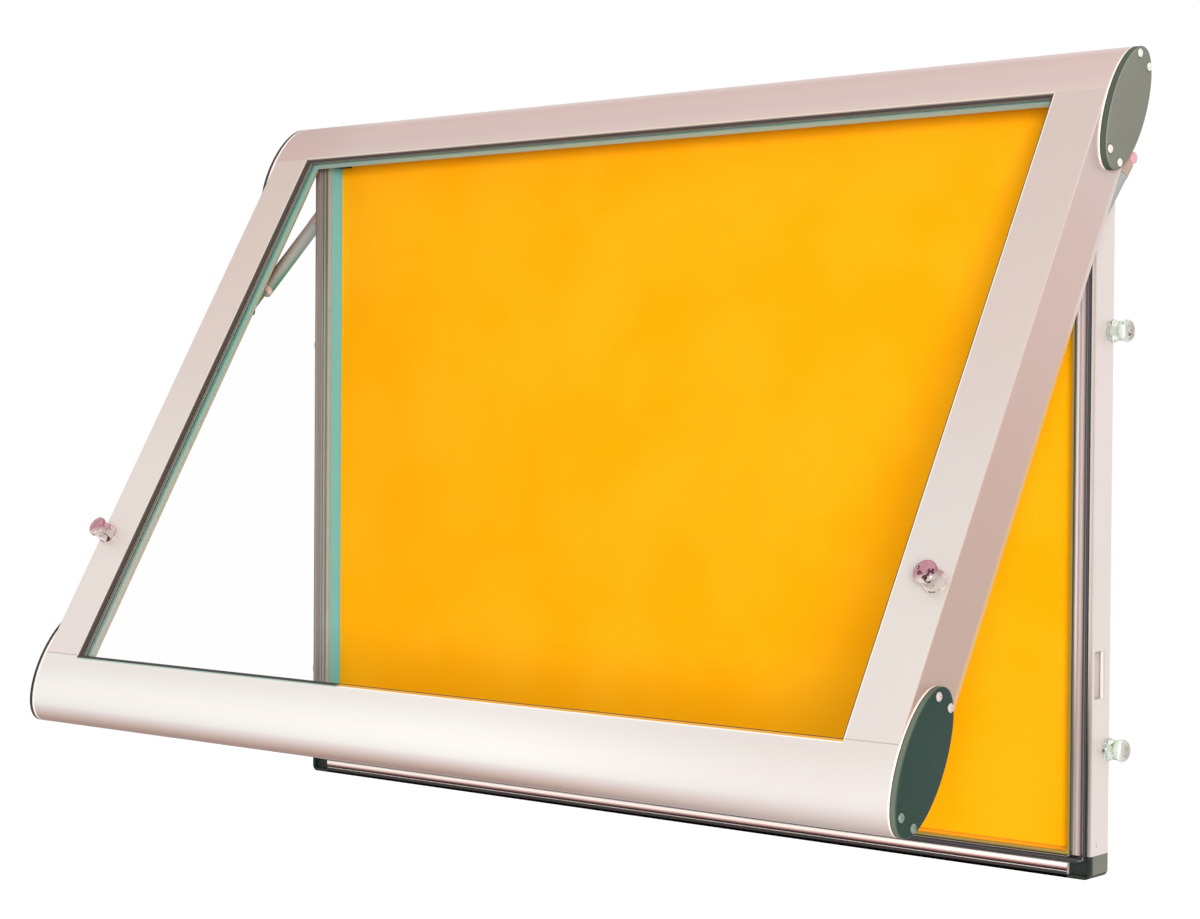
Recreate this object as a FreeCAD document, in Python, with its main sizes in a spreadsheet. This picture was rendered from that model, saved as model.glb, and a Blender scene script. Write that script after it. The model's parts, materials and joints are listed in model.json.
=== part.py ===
import FreeCAD, Part
import Sketcher
import math
import os

# A wall notice board with a top hung glazed door, two gas struts and two turn locks.
# X runs to the right, Y into the wall, Z up. The origin is the middle of the four wall
# screws, on the wall. The door is drawn part open, as a reader would find it propped.

SIZES = {
    # Door frame
    "opening_width": 900,
    "opening_height": 592.7,
    "stile_width": 50,
    "door_depth": 55,
    "rail_height": 60,
    "door_wall": 2.5,
    "edge_round": 1.2,
    "side_channel": 24,
    "box_depth": 22.5,
    "box_chamfer": 4.5,
    "box_wall": 2,
    "lower_box_from_tip": 16,
    "top_tail": 11,
    "bottom_tail": 6.5,
    # Glass and its gasket
    "lip_thickness": 1.6,
    "groove_depth": 8,
    "glass_setback": 8.4,
    "glass_thickness": 4,
    "glass_play": 0.2,
    "glass_overlap": 6,
    "gasket_proud": 1.8,
    # Hinge along the top
    "bead_radius": 4,
    "bead_web": 2.5,
    "bead_rise": 8,
    "hinge_clearance": 0.1,
    "socket_wall": 2.9,
    "socket_gap_start": -28,
    "socket_gap_end": 82,
    "hinge_above_opening": 25.7,
    "open_angle": 30.65,
    # Case
    "case_depth": 30,
    "case_face": 22.3,
    "top_face": 2.3,
    "case_wall": 2,
    "case_front_wall": 6,
    "side_gap": 2.35,
    "front_gap": 2.35,
    "bottom_lap": 9.4,
    "rear_lip": 8,
    "lip_play": 0.2,
    "corner_height": 20,
    "top_corner_height": 6.5,
    "corner_round": 6,
    "corner_skin": 3,
    "spigot_length": 15,
    "spigot_play": 0.2,
    "seal_width": 4.8,
    "seal_offset": 4.35,
    "bottom_seal_offset": 13.2,
    "seal_depth": 4,
    "seal_proud": 2,
    "trim_width": 4,
    "trim_depth": 3.5,
    "trim_proud": 0.5,
    "line_offset": 14,
    "bottom_line_offset": 5,
    "line_width": 0.7,
    "line_depth": 1,
    "panel_thickness": 3,
    "board_setback": 18,
    "board_play": 0.3,
    # Wall fixing
    "wall_gap": 12,
    "wall_screw_radius": 3.5,
    "wall_spacer_radius": 15,
    "wall_spacing_x": 760,
    "wall_spacing_z": 480,
    # Corner screws of the case
    "corner_screw_radius": 2.5,
    "corner_screw_length": 12,
    "corner_screw_sink": 0.4,
    "corner_screw_inset": 29,
    "corner_screw_from_back": 19,
    # Elliptical end caps
    "cap_thickness": 8,
    "cap_edge": 1.5,
    "cap_screw_from_tip": 11.3,
    "cap_screw_edge": 6.56,
    "cap_screw_radius": 2,
    "cap_screw_length": 12,
    "cap_screw_head": 3.7,
    "cap_screw_dome": 2.3,
    "cap_screw_rim": 0.6,
    "cap_screw_point": 1.2,
    "plug_length": 20,
    "plug_play": 0.2,
    "plug_margin": 0.6,
    # Turn locks
    "lock_rise": 133.1,
    "lock_inset": 12.5,
    "knob_radius": 10,
    "knob_length": 19,
    "knob_waist": 7.9,
    "knob_flange": 3.4,
    "knob_stand_off": 1.3,
    "barrel_radius": 6,
    "barrel_length": 22,
    "barrel_head_radius": 8.5,
    "barrel_head": 1,
    "barrel_nut_radius": 9,
    "barrel_nut_height": 4,
    "spindle_radius": 4,
    "spindle_play": 0.08,
    "thread_end": 1,
    "cam_setback": 35.5,
    "cam_thickness": 3,
    "cam_width": 10,
    "cam_reach": 26,
    "cam_nut_radius": 6,
    "cam_nut_height": 3.5,
    "slot_below_lock": 31.2,
    "slot_above_lock": 9.2,
    "slot_front": 26.4,
    "slot_back": 8,
    "keeper_thickness": 2.5,
    "keeper_margin": 12,
    # Side knobs of the case
    "side_knob_from_top": 197.5,
    "side_knob_from_bottom": 109,
    "side_knob_from_back": 5.5,
    "side_knob_radius": 9.7,
    "side_knob_length": 19.8,
    "side_stud_radius": 2.5,
    "side_nut_width": 6.6,
    "side_nut_length": 14,
    "side_nut_thickness": 4,
    # Gas struts
    "strut_inset": 10.5,
    "stud_below_hinge": 60.5,
    "stud_from_back": 5.5,
    "stud_radius": 3,
    "stud_collar_radius": 5,
    "stud_head_radius": 5,
    "stud_head": 3.6,
    "stud_head_edge": 1,
    "eye_radius": 6.4,
    "eye_width": 8,
    "eye_play": 0.08,
    "eye_gap": 0.3,
    "eye_sleeve_radius": 7.8,
    "eye_sleeve_clearance": 0.6,
    "neck_radius": 3.5,
    "tube_radius": 7.5,
    "tube_wall": 1,
    "tube_start": 22,
    "tube_end": 124,
    "gland_flange": 1.5,
    "gland_length": 6,
    "rod_radius": 3,
    "rod_play": 0.05,
    "piston_height": 6,
    "piston_depth": 96,
    "rod_tail": 2,
    "neck_plug": 6,
    "anchor_drop": 165,
    "anchor_setback": 41.7,
    "rod_end_radius": 4.5,
    "rod_end_width": 7,
    "anchor_boss_radius": 4,
    "anchor_plate": 2.4,
    "anchor_plate_width": 22,
    "anchor_plate_length": 30,
}

doc = FreeCAD.newDocument("NoticeBoard")
sheet = doc.addObject("Spreadsheet::Sheet", "Dims")
for row, (size_name, size_value) in enumerate(SIZES.items(), start=1):
    sheet.set(f"A{row}", size_name)
    sheet.set(f"B{row}", str(size_value))
    sheet.setAlias(f"B{row}", size_name)
doc.recompute()


class Size:
    """A number together with the formula that gives it from the sheet."""

    def __init__(self, value, text):
        self.value = float(value)
        self.text = text

    def __add__(self, other):
        other = as_size(other)
        return Size(self.value + other.value, f"({self.text} + {other.text})")

    def __sub__(self, other):
        other = as_size(other)
        return Size(self.value - other.value, f"({self.text} - {other.text})")

    def __mul__(self, other):
        other = as_size(other)
        return Size(self.value * other.value, f"({self.text} * {other.text})")

    def __truediv__(self, other):
        other = as_size(other)
        return Size(self.value / other.value, f"({self.text} / {other.text})")

    def __radd__(self, other):
        return as_size(other) + self

    def __rsub__(self, other):
        return as_size(other) - self

    def __rmul__(self, other):
        return as_size(other) * self

    def __neg__(self):
        return Size(-self.value, f"(0 - {self.text})")


def as_size(number):
    if isinstance(number, Size):
        return number
    return Size(number, repr(float(number)))


def root(size):
    return Size(math.sqrt(size.value), f"sqrt({size.text})")


class Dims:
    """Every driving size of the sheet, under its own name."""


d = Dims()
for size_name in SIZES:
    setattr(d, size_name, Size(sheet.get(size_name), f"Dims.{size_name}"))


# A wall of even thickness turns half a right angle at each end of a chamfer, and its inner
# face turns this share of the thickness further along
CHAMFER_TURN = math.sqrt(2) - 1

# Sizes that follow from the ones above
door_half = d.opening_width / 2 + d.stile_width
opening_half = d.opening_width / 2
box_width = d.stile_width - d.side_channel
case_half = opening_half + box_width - d.side_gap
case_height = (d.hinge_above_opening + d.opening_height + d.rail_height
               - d.bottom_lap - d.bead_rise)
case_inner_half = case_half - d.case_face
side_top = case_height - d.top_corner_height
board_front = -d.case_depth + d.board_setback
hinge_behind_front = d.box_depth + d.front_gap + d.bead_web / 2
hinge_y = -d.case_depth + d.bead_web / 2
hinge_z = case_height + d.bead_rise
groove_rear = d.glass_setback + d.glass_thickness + d.glass_play
inner_chamfer = d.box_chamfer + d.box_wall * CHAMFER_TURN
socket_radius = d.bead_radius + d.hinge_clearance + d.socket_wall
lower_box_height = d.rail_height - d.lower_box_from_tip
cap_screw_reach = d.rail_height - d.cap_screw_from_tip
cap_screw_share = cap_screw_reach / d.rail_height
cap_screw_side = d.door_depth / 2 * root(1 - cap_screw_share * cap_screw_share) - d.cap_screw_edge
lock_x = door_half - d.lock_inset
lock_height_when_shut = d.rail_height - d.bottom_lap + d.lock_rise
slot_bottom = lock_height_when_shut - d.slot_below_lock
slot_top = lock_height_when_shut + d.slot_above_lock
side_knob_heights = (case_height - d.side_knob_from_top, d.side_knob_from_bottom)

# Door coordinates have their origin on the hinge line: Y back from it, Z up the door
door_front = -hinge_behind_front
opening_top = -d.hinge_above_opening
opening_bottom = opening_top - d.opening_height
lock_z = opening_bottom + d.lock_rise

# How far a cutting shape runs past what it cuts
PAST = 1

nodes = []


def vector(x, y, z):
    return FreeCAD.Vector(as_size(x).value, as_size(y).value, as_size(z).value)


def place(x, y, z, axis=(1, 0, 0), angle=0.0):
    return FreeCAD.Placement(vector(x, y, z), FreeCAD.Rotation(FreeCAD.Vector(*axis), angle))


CASE = place(0, -d.wall_gap, -case_height / 2)
DOOR = CASE.multiply(place(0, hinge_y, hinge_z, angle=-d.open_angle.value))
ALONG_X = ((0, 1, 0), 90)
ALONG_MINUS_X = ((0, 1, 0), -90)
ALONG_MINUS_Y = ((1, 0, 0), 90)


def bind(thing, prop, size):
    thing.setExpression(prop, as_size(size).text)


def keep(thing, label, placement):
    """Name a finished piece and put it where it belongs."""
    thing.Label = label
    thing.Placement = placement
    nodes.append(thing)
    return thing


# Sketches: a loop is a list of corners, with Arc between two corners where it is round

class Arc:
    def __init__(self, x, y, anticlockwise=True):
        self.centre = (as_size(x), as_size(y))
        self.anticlockwise = anticlockwise


class Circle:
    def __init__(self, x, y, radius):
        self.centre = (as_size(x), as_size(y))
        self.radius = as_size(radius)


def rectangle(x0, x1, y0, y1):
    return [(x0, y0), (x1, y0), (x1, y1), (x0, y1)]


def pin_point(sketch, geometry, point, x, y):
    """Fix a point of a sketch at its distances from the origin."""
    for kind, size in (("DistanceX", x), ("DistanceY", y)):
        index = sketch.addConstraint(
            Sketcher.Constraint(kind, -1, 1, geometry, point, size.value))
        sketch.setExpression(f"Constraints[{index}]", size.text)


def draw_circle(sketch, circle):
    x, y = circle.centre
    shape = Part.Circle(vector(x, y, 0), FreeCAD.Vector(0, 0, 1), circle.radius.value)
    geometry = sketch.addGeometry(shape, False)
    pin_point(sketch, geometry, 3, x, y)
    index = sketch.addConstraint(Sketcher.Constraint("Radius", geometry, circle.radius.value))
    sketch.setExpression(f"Constraints[{index}]", circle.radius.text)


def arc_geometry(start, end, arc):
    x, y = (size.value for size in arc.centre)
    first, last = (start, end) if arc.anticlockwise else (end, start)
    angles = [math.atan2(p[1].value - y, p[0].value - x) for p in (first, last)]
    radius = math.hypot(start[0].value - x, start[1].value - y)
    circle = Part.Circle(FreeCAD.Vector(x, y, 0), FreeCAD.Vector(0, 0, 1), radius)
    return Part.ArcOfCircle(circle, angles[0], angles[1])


def draw_loop(sketch, loop):
    corners = []
    arcs = {}
    for item in loop:
        if isinstance(item, Arc):
            arcs[len(corners) - 1] = item
        else:
            corners.append((as_size(item[0]), as_size(item[1])))
    ends = []
    for i, start in enumerate(corners):
        end = corners[(i + 1) % len(corners)]
        if i in arcs:
            shape = arc_geometry(start, end, arcs[i])
            points = (1, 2) if arcs[i].anticlockwise else (2, 1)
        else:
            shape = Part.LineSegment(vector(*start, 0), vector(*end, 0))
            points = (1, 2)
        ends.append((sketch.addGeometry(shape, False), points))
    for i, (geometry, points) in enumerate(ends):
        previous, previous_points = ends[i - 1]
        sketch.addConstraint(Sketcher.Constraint(
            "Coincident", previous, previous_points[1], geometry, points[0]))
        pin_point(sketch, geometry, points[0], *corners[i])
        if i in arcs:
            pin_arc(sketch, geometry, corners[i], corners[(i + 1) % len(corners)], arcs[i])


def pin_arc(sketch, geometry, start, end, arc):
    """Fix the one freedom an arc between two fixed corners still has."""
    chord_x = abs(end[0].value - start[0].value)
    chord_y = abs(end[1].value - start[1].value)
    kind, size = ("DistanceY", arc.centre[1]) if chord_x > chord_y else ("DistanceX", arc.centre[0])
    index = sketch.addConstraint(Sketcher.Constraint(kind, -1, 1, geometry, 3, size.value))
    sketch.setExpression(f"Constraints[{index}]", size.text)


def new_body(name):
    body = doc.addObject("PartDesign::Body", name)
    body.AllowCompound = True
    return body


def sketch_on(body, plane, height, loops):
    origin_plane = next(f for f in body.Origin.OriginFeatures if f.Role == plane)
    sketch = body.newObject("Sketcher::SketchObject", f"{body.Name}_outline")
    sketch.AttachmentSupport = [(origin_plane, "")]
    sketch.MapMode = "FlatFace"
    bind(sketch, "AttachmentOffset.Base.z", height)
    for loop in loops:
        if isinstance(loop, Circle):
            draw_circle(sketch, loop)
        else:
            draw_loop(sketch, loop)
    return sketch


def plane_start(plane, low, high):
    """The XZ plane faces forwards, so its features start from their rear face."""
    return -as_size(high) if plane == "XZ_Plane" else as_size(low)


def pad(body, plane, low, high, *loops):
    """Add the loops as a solid from low to high, square to the plane."""
    feature = body.newObject("PartDesign::Pad", f"{body.Name}_pad")
    feature.Profile = sketch_on(body, plane, plane_start(plane, low, high), loops)
    bind(feature, "Length", high - low)
    doc.recompute()
    return feature


def pocket(body, plane, low, high, *loops):
    """Cut the loops away from low to high, square to the plane."""
    before = body.Shape.Volume
    feature = body.newObject("PartDesign::Pocket", f"{body.Name}_pocket")
    feature.Profile = sketch_on(body, plane, plane_start(plane, low, high), loops)
    feature.Reversed = True
    bind(feature, "Length", high - low)
    doc.recompute()
    if body.Shape.Volume >= before:
        raise ValueError(f"{body.Name}: a pocket cut nothing")
    return feature


def turn(body, loop):
    """Turn an outline of radius and height about the body's Z axis."""
    sketch = sketch_on(body, "XZ_Plane", 0, [loop])
    feature = body.newObject("PartDesign::Revolution", f"{body.Name}_turned")
    feature.Profile = sketch
    feature.ReferenceAxis = (sketch, ["V_Axis"])
    feature.Angle = 360
    doc.recompute()
    return feature


def group(label, masters, placement):
    """Several separate pieces of one kind: each master with its own places."""
    links = []
    for master, places in masters:
        for local in places:
            link = doc.addObject("App::Link", f"{label}_item")
            link.LinkedObject = master
            link.LinkPlacement = local
            links.append(link)
    compound = doc.addObject("Part::Compound", label)
    compound.Links = links
    return keep(compound, label, placement)


# Part solids with every size bound, for the elliptical extrusions

def block(name, x0, x1, y0, y1, z0, z1):
    box = doc.addObject("Part::Box", name)
    for prop, low, high in (("Length", x0, x1), ("Width", y0, y1), ("Height", z0, z1)):
        bind(box, prop, as_size(high) - low)
    for axis, low in (("x", x0), ("y", y0), ("z", z0)):
        bind(box, f"Placement.Base.{axis}", low)
    return box


def bar_x(name, radius, low, high, y, z):
    """A round bar along X."""
    bar = doc.addObject("Part::Cylinder", name)
    bar.Placement = place(0, 0, 0, *ALONG_X)
    bind(bar, "Radius", radius)
    bind(bar, "Height", as_size(high) - low)
    for axis, size in (("x", low), ("y", y), ("z", z)):
        bind(bar, f"Placement.Base.{axis}", size)
    return bar


def elliptical_bar(name, long_radius, short_radius, low, high, y, z):
    """An elliptical bar along X, taller than it is deep."""
    ellipse = doc.addObject("Part::Ellipse", f"{name}_ellipse")
    ellipse.Placement = place(0, 0, 0, *ALONG_X)
    bind(ellipse, "MajorRadius", long_radius)
    bind(ellipse, "MinorRadius", short_radius)
    for axis, size in (("x", low), ("y", y), ("z", z)):
        bind(ellipse, f"Placement.Base.{axis}", size)
    bar = doc.addObject("Part::Extrusion", name)
    bar.Base = ellipse
    bar.DirMode = "Custom"
    bar.Dir = (1, 0, 0)
    bar.Solid = True
    bind(bar, "LengthFwd", as_size(high) - low)
    return bar


def join(name, *things):
    fused = doc.addObject("Part::MultiFuse", name)
    fused.Shapes = list(things)
    fused.Refine = True
    return fused


def common(name, first, second):
    shared = doc.addObject("Part::Common", name)
    shared.Base = first
    shared.Tool = second
    shared.Refine = True
    return shared


def cut(name, base, *tools):
    result = doc.addObject("Part::Cut", name)
    result.Base = base
    result.Tool = tools[0] if len(tools) == 1 else join(f"{name}_tools", *tools)
    result.Refine = True
    return result


# Case profiles

def case_section(along, across, seal_offset, line_offset):
    """The section of a box profile: q inwards from its outer face, y from the case's back.

    along and across turn q and y into sketch coordinates."""
    front = -d.case_depth
    seal_end = seal_offset + d.seal_width
    trim_start = d.case_face - d.trim_width
    outline = [
        (0, 0),
        (0, front),
    ]
    grooves = sorted([
        (seal_offset, seal_end, d.seal_depth),
        (line_offset, line_offset + d.line_width, d.line_depth),
    ], key=lambda groove: groove[0].value)
    for start, end, depth in grooves:
        outline += [(start, front), (start, front + depth), (end, front + depth), (end, front)]
    outline += [
        (trim_start, front),
        (trim_start, front + d.trim_depth),
        (d.case_face, front + d.trim_depth),
        (d.case_face, -d.case_wall),
        (d.case_face + d.rear_lip, -d.case_wall),
        (d.case_face + d.rear_lip, 0),
    ]
    hollow = rectangle(d.case_wall, d.case_face - d.case_wall,
                       front + d.case_front_wall, -d.case_wall)
    return [[(along(q), across(y)) for q, y in loop] for loop in (outline, hollow)]


def swap(loops):
    return [[(y, x) for x, y in loop] for loop in loops]


def case_side_profile(label, side):
    """Upright profile with the lock slot, side knob holes and strut stud hole."""
    body = new_body(label)
    loops = case_section(lambda q: side * (case_half - q), lambda y: as_size(y),
                         d.seal_offset, d.line_offset)
    pad(body, "XY_Plane", d.corner_height, side_top, *loops)
    faces = sorted([side * (case_half + PAST), side * (case_half - d.case_wall - PAST)],
                   key=lambda size: size.value)
    stud_z = hinge_z - d.stud_below_hinge
    corner_screw_zs = (d.corner_screw_inset, case_height - d.corner_screw_inset)
    holes = [
        rectangle(-d.slot_front, -d.slot_back, slot_bottom, slot_top),
        Circle(-d.stud_from_back, stud_z, d.stud_radius),
    ]
    holes += [Circle(-d.side_knob_from_back, z, d.side_stud_radius)
              for z in side_knob_heights]
    holes += [Circle(-d.corner_screw_from_back, z, d.corner_screw_radius)
              for z in corner_screw_zs]
    pocket(body, "YZ_Plane", faces[0], faces[1], *holes)
    lip_xs = (side * case_inner_half, side * (case_inner_half - d.rear_lip - PAST))
    lip_bottom = d.case_face + d.rear_lip + d.lip_play
    lip_top = case_height - d.top_face - d.rear_lip - d.lip_play
    pocket(body, "XZ_Plane", -d.case_wall - PAST, as_size(PAST),
           rectangle(*lip_xs, d.corner_height - PAST, lip_bottom),
           rectangle(*lip_xs, lip_top, side_top + PAST))
    keep(body, label, CASE)


def case_bottom_profile():
    body = new_body("case_bottom_profile")
    loops = case_section(lambda q: as_size(q), lambda y: as_size(y),
                         d.bottom_seal_offset, d.bottom_line_offset)
    pad(body, "YZ_Plane", -case_inner_half, case_inner_half, *swap(loops))
    keep(body, "case_bottom_profile", CASE)


def case_top_profile():
    """Top plate with a rear lip, and the round hinge bead on a web along its front edge."""
    body = new_body("case_top_profile")
    plate = case_height - d.top_face
    web_rear = -d.case_depth + d.bead_web
    pad(body, "YZ_Plane", -case_inner_half, case_inner_half, [
        (-d.case_depth, plate),
        (-d.case_wall, plate),
        (-d.case_wall, plate - d.rear_lip),
        (0, plate - d.rear_lip),
        (0, case_height),
        (web_rear, case_height),
        (web_rear, hinge_z),
        (-d.case_depth, hinge_z),
    ])
    pad(body, "YZ_Plane", -case_inner_half, case_inner_half,
        Circle(hinge_y, hinge_z, d.bead_radius))
    keep(body, "case_top_profile", CASE)


def corner_piece(label, side, upper):
    """Corner of the case, with a spigot into the upright and a tongue along the other profile.

    A lower corner has a recess for the seals; an upper one is low, and has none."""
    body = new_body(label)

    def at_x(q):
        return side * (case_half - q)

    def at_z(q):
        return case_height - q if upper else as_size(q)

    r = d.corner_round
    height = d.top_corner_height if upper else d.corner_height
    turn_round = side * (1 if upper else -1) < 0
    outline = [
        (at_x(d.case_face), at_z(0)),
        (at_x(r), at_z(0)),
        Arc(at_x(r), at_z(r), turn_round),
        (at_x(0), at_z(r)),
        (at_x(0), at_z(height)),
        (at_x(d.case_face), at_z(height)),
    ]
    pad(body, "XZ_Plane", -d.case_depth, as_size(0), outline)
    if not upper:
        near, far = at_x(d.corner_skin), at_x(d.case_face + PAST)
        recess = rectangle(near, far, at_z(d.corner_skin), at_z(height + PAST))
        pocket(body, "XZ_Plane", -d.case_depth - PAST, -d.case_depth + d.seal_depth, recess)
    low = d.case_wall + d.spigot_play
    high = d.case_face - d.case_wall - d.spigot_play
    front = -d.case_depth + d.case_front_wall + d.spigot_play
    rear = -d.case_wall - d.spigot_play
    pad(body, "XZ_Plane", front, rear,
        rectangle(at_x(low), at_x(high), at_z(height - PAST), at_z(d.corner_height + d.spigot_length)))
    level_xs = (at_x(d.case_face - PAST), at_x(d.case_face + d.spigot_length))
    if upper:
        pad(body, "XZ_Plane", front, board_front - d.board_play,
            rectangle(*level_xs, at_z(d.top_face + d.spigot_play), at_z(height)))
    else:
        pad(body, "XZ_Plane", front, rear,
            rectangle(*level_xs, at_z(low), at_z(height - d.spigot_play)))
    screw_z = case_height - d.corner_screw_inset if upper else d.corner_screw_inset
    deepest = case_half - d.corner_screw_sink - d.corner_screw_length
    xs = sorted([side * deepest, side * (case_half + PAST)],
                key=lambda size: size.value)
    pocket(body, "YZ_Plane", xs[0], xs[1],
           Circle(-d.corner_screw_from_back, screw_z, d.corner_screw_radius))
    keep(body, label, CASE)


def case_strip(label, proud, depth, half, bottom, width):
    """A strip on the case's front: up both sides from its outer corners, and along the bottom."""
    body = new_body(label)
    inner = half - width
    pad(body, "XZ_Plane", -d.case_depth - proud, -d.case_depth + depth, [
        (-half, bottom),
        (half, bottom),
        (half, side_top),
        (inner, side_top),
        (inner, bottom + width),
        (-inner, bottom + width),
        (-inner, side_top),
        (-half, side_top),
    ])
    keep(body, label, CASE)


def case_strips():
    case_strip("case_seal", d.seal_proud, d.seal_depth,
               case_half - d.seal_offset, d.bottom_seal_offset, d.seal_width)
    case_strip("case_inner_trim", d.trim_proud, d.trim_depth,
               case_inner_half + d.trim_width, d.case_face - d.trim_width, d.trim_width)


def panel_loop():
    half = case_inner_half - d.board_play
    return rectangle(-half, half, d.case_face + d.board_play,
                     case_height - d.top_face - d.board_play)


def wall_screw_places():
    return [(sx * d.wall_spacing_x / 2, case_height / 2 + sz * d.wall_spacing_z / 2)
            for sx in (-1, 1) for sz in (-1, 1)]


def back_panel_and_board():
    rear = -d.case_wall
    middle = rear - d.panel_thickness
    panel = new_body("back_panel")
    holes = [Circle(x, z, d.wall_screw_radius) for x, z in wall_screw_places()]
    pad(panel, "XZ_Plane", middle, rear, panel_loop(), *holes)
    keep(panel, "back_panel", CASE)
    board = new_body("pinboard")
    pad(board, "XZ_Plane", board_front, middle, panel_loop())
    keep(board, "pinboard", CASE)


def wall_spacers():
    body = new_body("wall_spacers")
    loops = []
    for x, z in wall_screw_places():
        loops += [Circle(x, z, d.wall_spacer_radius), Circle(x, z, d.wall_screw_radius)]
    pad(body, "XZ_Plane", -d.case_wall, d.wall_gap, *loops)
    keep(body, "wall_spacers", CASE)


def corner_screws():
    master = new_body("corner_screw_master")
    length = d.corner_screw_length
    turn(master, [
        (0, 0),
        (d.corner_screw_radius, 0),
        (d.corner_screw_radius, length),
        (0, length),
    ])
    places = []
    for side in (-1, 1):
        axis = ALONG_MINUS_X if side > 0 else ALONG_X
        for z in (d.corner_screw_inset, case_height - d.corner_screw_inset):
            places.append(place(side * (case_half - d.corner_screw_sink),
                                -d.corner_screw_from_back, z, *axis))
    group("corner_screws", [(master, places)], CASE)


# Clear spool knobs, used on the locks and on the sides of the case

KNOB_BORE_SHARE = 0.45

def spool_outline(radius, length, bore, base=0):
    """Half outline of a waisted spool that stands on the height base."""
    flange = d.knob_flange
    waist = d.knob_waist
    edge = d.edge_round
    top = base + length
    middle = base + length / 2
    shoulder = radius - d.edge_round
    half = length / 2 - flange
    rise = shoulder - waist
    bow = (half * half + rise * rise) / (2 * rise)
    return [
        (bore, base),
        (shoulder, base),
        Arc(shoulder, base + edge),
        (radius, base + edge),
        (radius, base + flange - edge / 2),
        (shoulder, base + flange),
        Arc(waist + bow, middle, False),
        (shoulder, top - flange),
        (radius, top - flange + edge / 2),
        (radius, top - edge),
        Arc(shoulder, top - edge),
        (shoulder, top),
        (0, top),
        (0, base + length * KNOB_BORE_SHARE),
        (bore, base + length * KNOB_BORE_SHARE),
    ]


def side_knobs():
    master = new_body("side_knob_master")
    turn(master, spool_outline(d.side_knob_radius, d.side_knob_length, d.side_stud_radius))
    stud = new_body("side_stud_master")
    inner = d.case_wall + d.side_nut_thickness + d.thread_end
    outer = d.side_knob_length * KNOB_BORE_SHARE
    turn(stud, rectangle(0, d.side_stud_radius, -inner, outer))
    nut = new_body("side_nut_master")
    half_width = d.side_nut_width / 2
    half_length = d.side_nut_length / 2
    pad(nut, "XY_Plane", -d.case_wall - d.side_nut_thickness, -d.case_wall,
        rectangle(-half_length, half_length, -half_width, half_width),
        Circle(0, 0, d.side_stud_radius))
    places = []
    for side in (-1, 1):
        axis = ALONG_X if side > 0 else ALONG_MINUS_X
        for z in side_knob_heights:
            places.append(place(side * case_half, -d.side_knob_from_back, z, *axis))
    group("side_knobs", [(master, places)], CASE)
    group("side_knob_studs", [(stud, places)], CASE)
    group("side_knob_nuts", [(nut, places)], CASE)


def keeper(label, side):
    """Steel plate behind the lock slot, inside the upright profile."""
    body = new_body(label)
    xs = sorted([side * (case_half - d.case_wall),
                 side * (case_half - d.case_wall - d.keeper_thickness)],
                key=lambda size: size.value)
    front = -d.case_depth + d.case_front_wall
    pad(body, "YZ_Plane", xs[0], xs[1],
        rectangle(front, -d.case_wall, slot_bottom - d.keeper_margin,
                  slot_top + d.keeper_margin),
        rectangle(front + PAST, -d.slot_back, slot_bottom, slot_top))
    keep(body, label, CASE)


# Door rails

def rail_walls(name, edge, up, rear_end, web_start, web_end):
    """Inner walls of a rail, drawn square and later trimmed to its elliptical outside."""
    def at(u, v):
        return (door_front + v, edge + up * as_size(u))

    wall = d.box_wall
    rear = d.box_depth
    groove_wall = d.groove_depth + wall
    body = new_body(name)
    pad(body, "YZ_Plane", -door_half - PAST, door_half + PAST, [
        at(0, groove_rear),
        at(0, rear - d.box_chamfer),
        at(d.box_chamfer, rear),
        at(rear_end, rear),
        at(rear_end, rear - wall),
        at(inner_chamfer, rear - wall),
        at(wall, rear - inner_chamfer),
        at(wall, groove_rear + wall),
        at(groove_wall, groove_rear + wall),
        at(groove_wall, 0),
        at(d.groove_depth, 0),
        at(d.groove_depth, groove_rear),
    ])
    pad(body, "YZ_Plane", -door_half - PAST, door_half + PAST, [
        at(web_start, 0),
        at(web_end, 0),
        at(web_end, rear),
        at(web_start, rear),
    ])
    return body


def rail(label, edge, up, tail_start, rear_end, web_start, web_end, hinged):
    """Elliptical rail: front half and tail of a tube, with inner walls and a glass groove."""
    middle_y = door_front + d.door_depth / 2
    half = door_half
    outer = elliptical_bar(f"{label}_outer", d.rail_height, d.door_depth / 2,
                           -half, half, middle_y, edge)
    inner = elliptical_bar(f"{label}_inner", d.rail_height - d.door_wall,
                           d.door_depth / 2 - d.door_wall, -half, half, middle_y, edge)
    tip = edge + up * (d.rail_height + PAST)
    ends = (-half - PAST, half + PAST)
    front_zs = sorted([edge, tip], key=lambda size: size.value)
    tail_zs = sorted([edge + up * tail_start, tip], key=lambda size: size.value)
    kept = join(
        f"{label}_kept",
        block(f"{label}_front", *ends, door_front - PAST, middle_y, *front_zs),
        block(f"{label}_tail", *ends, middle_y - PAST, door_front + d.door_depth + PAST, *tail_zs))
    shell = common(f"{label}_shell", cut(f"{label}_tube", outer, inner), kept)
    walls = common(f"{label}_inside", outer,
                   rail_walls(f"{label}_walls", edge, up, rear_end, web_start, web_end))
    groove_zs = sorted([edge - up * PAST, edge + up * d.groove_depth], key=lambda size: size.value)
    tools = [block(f"{label}_groove", *ends, door_front + d.lip_thickness,
                   door_front + groove_rear, *groove_zs)]
    solids = [shell, walls]
    if hinged:
        solids.append(bar_x(f"{label}_socket", socket_radius, -half, half, 0, 0))
        tools.append(bar_x(f"{label}_bore", d.bead_radius + d.hinge_clearance, *ends, 0, 0))
        tools.append(socket_gap(f"{label}_gap"))
    keep(cut(label, join(f"{label}_whole", *solids), *tools), label, DOOR)


SOCKET_GAP_REACH = 1.6


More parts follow.
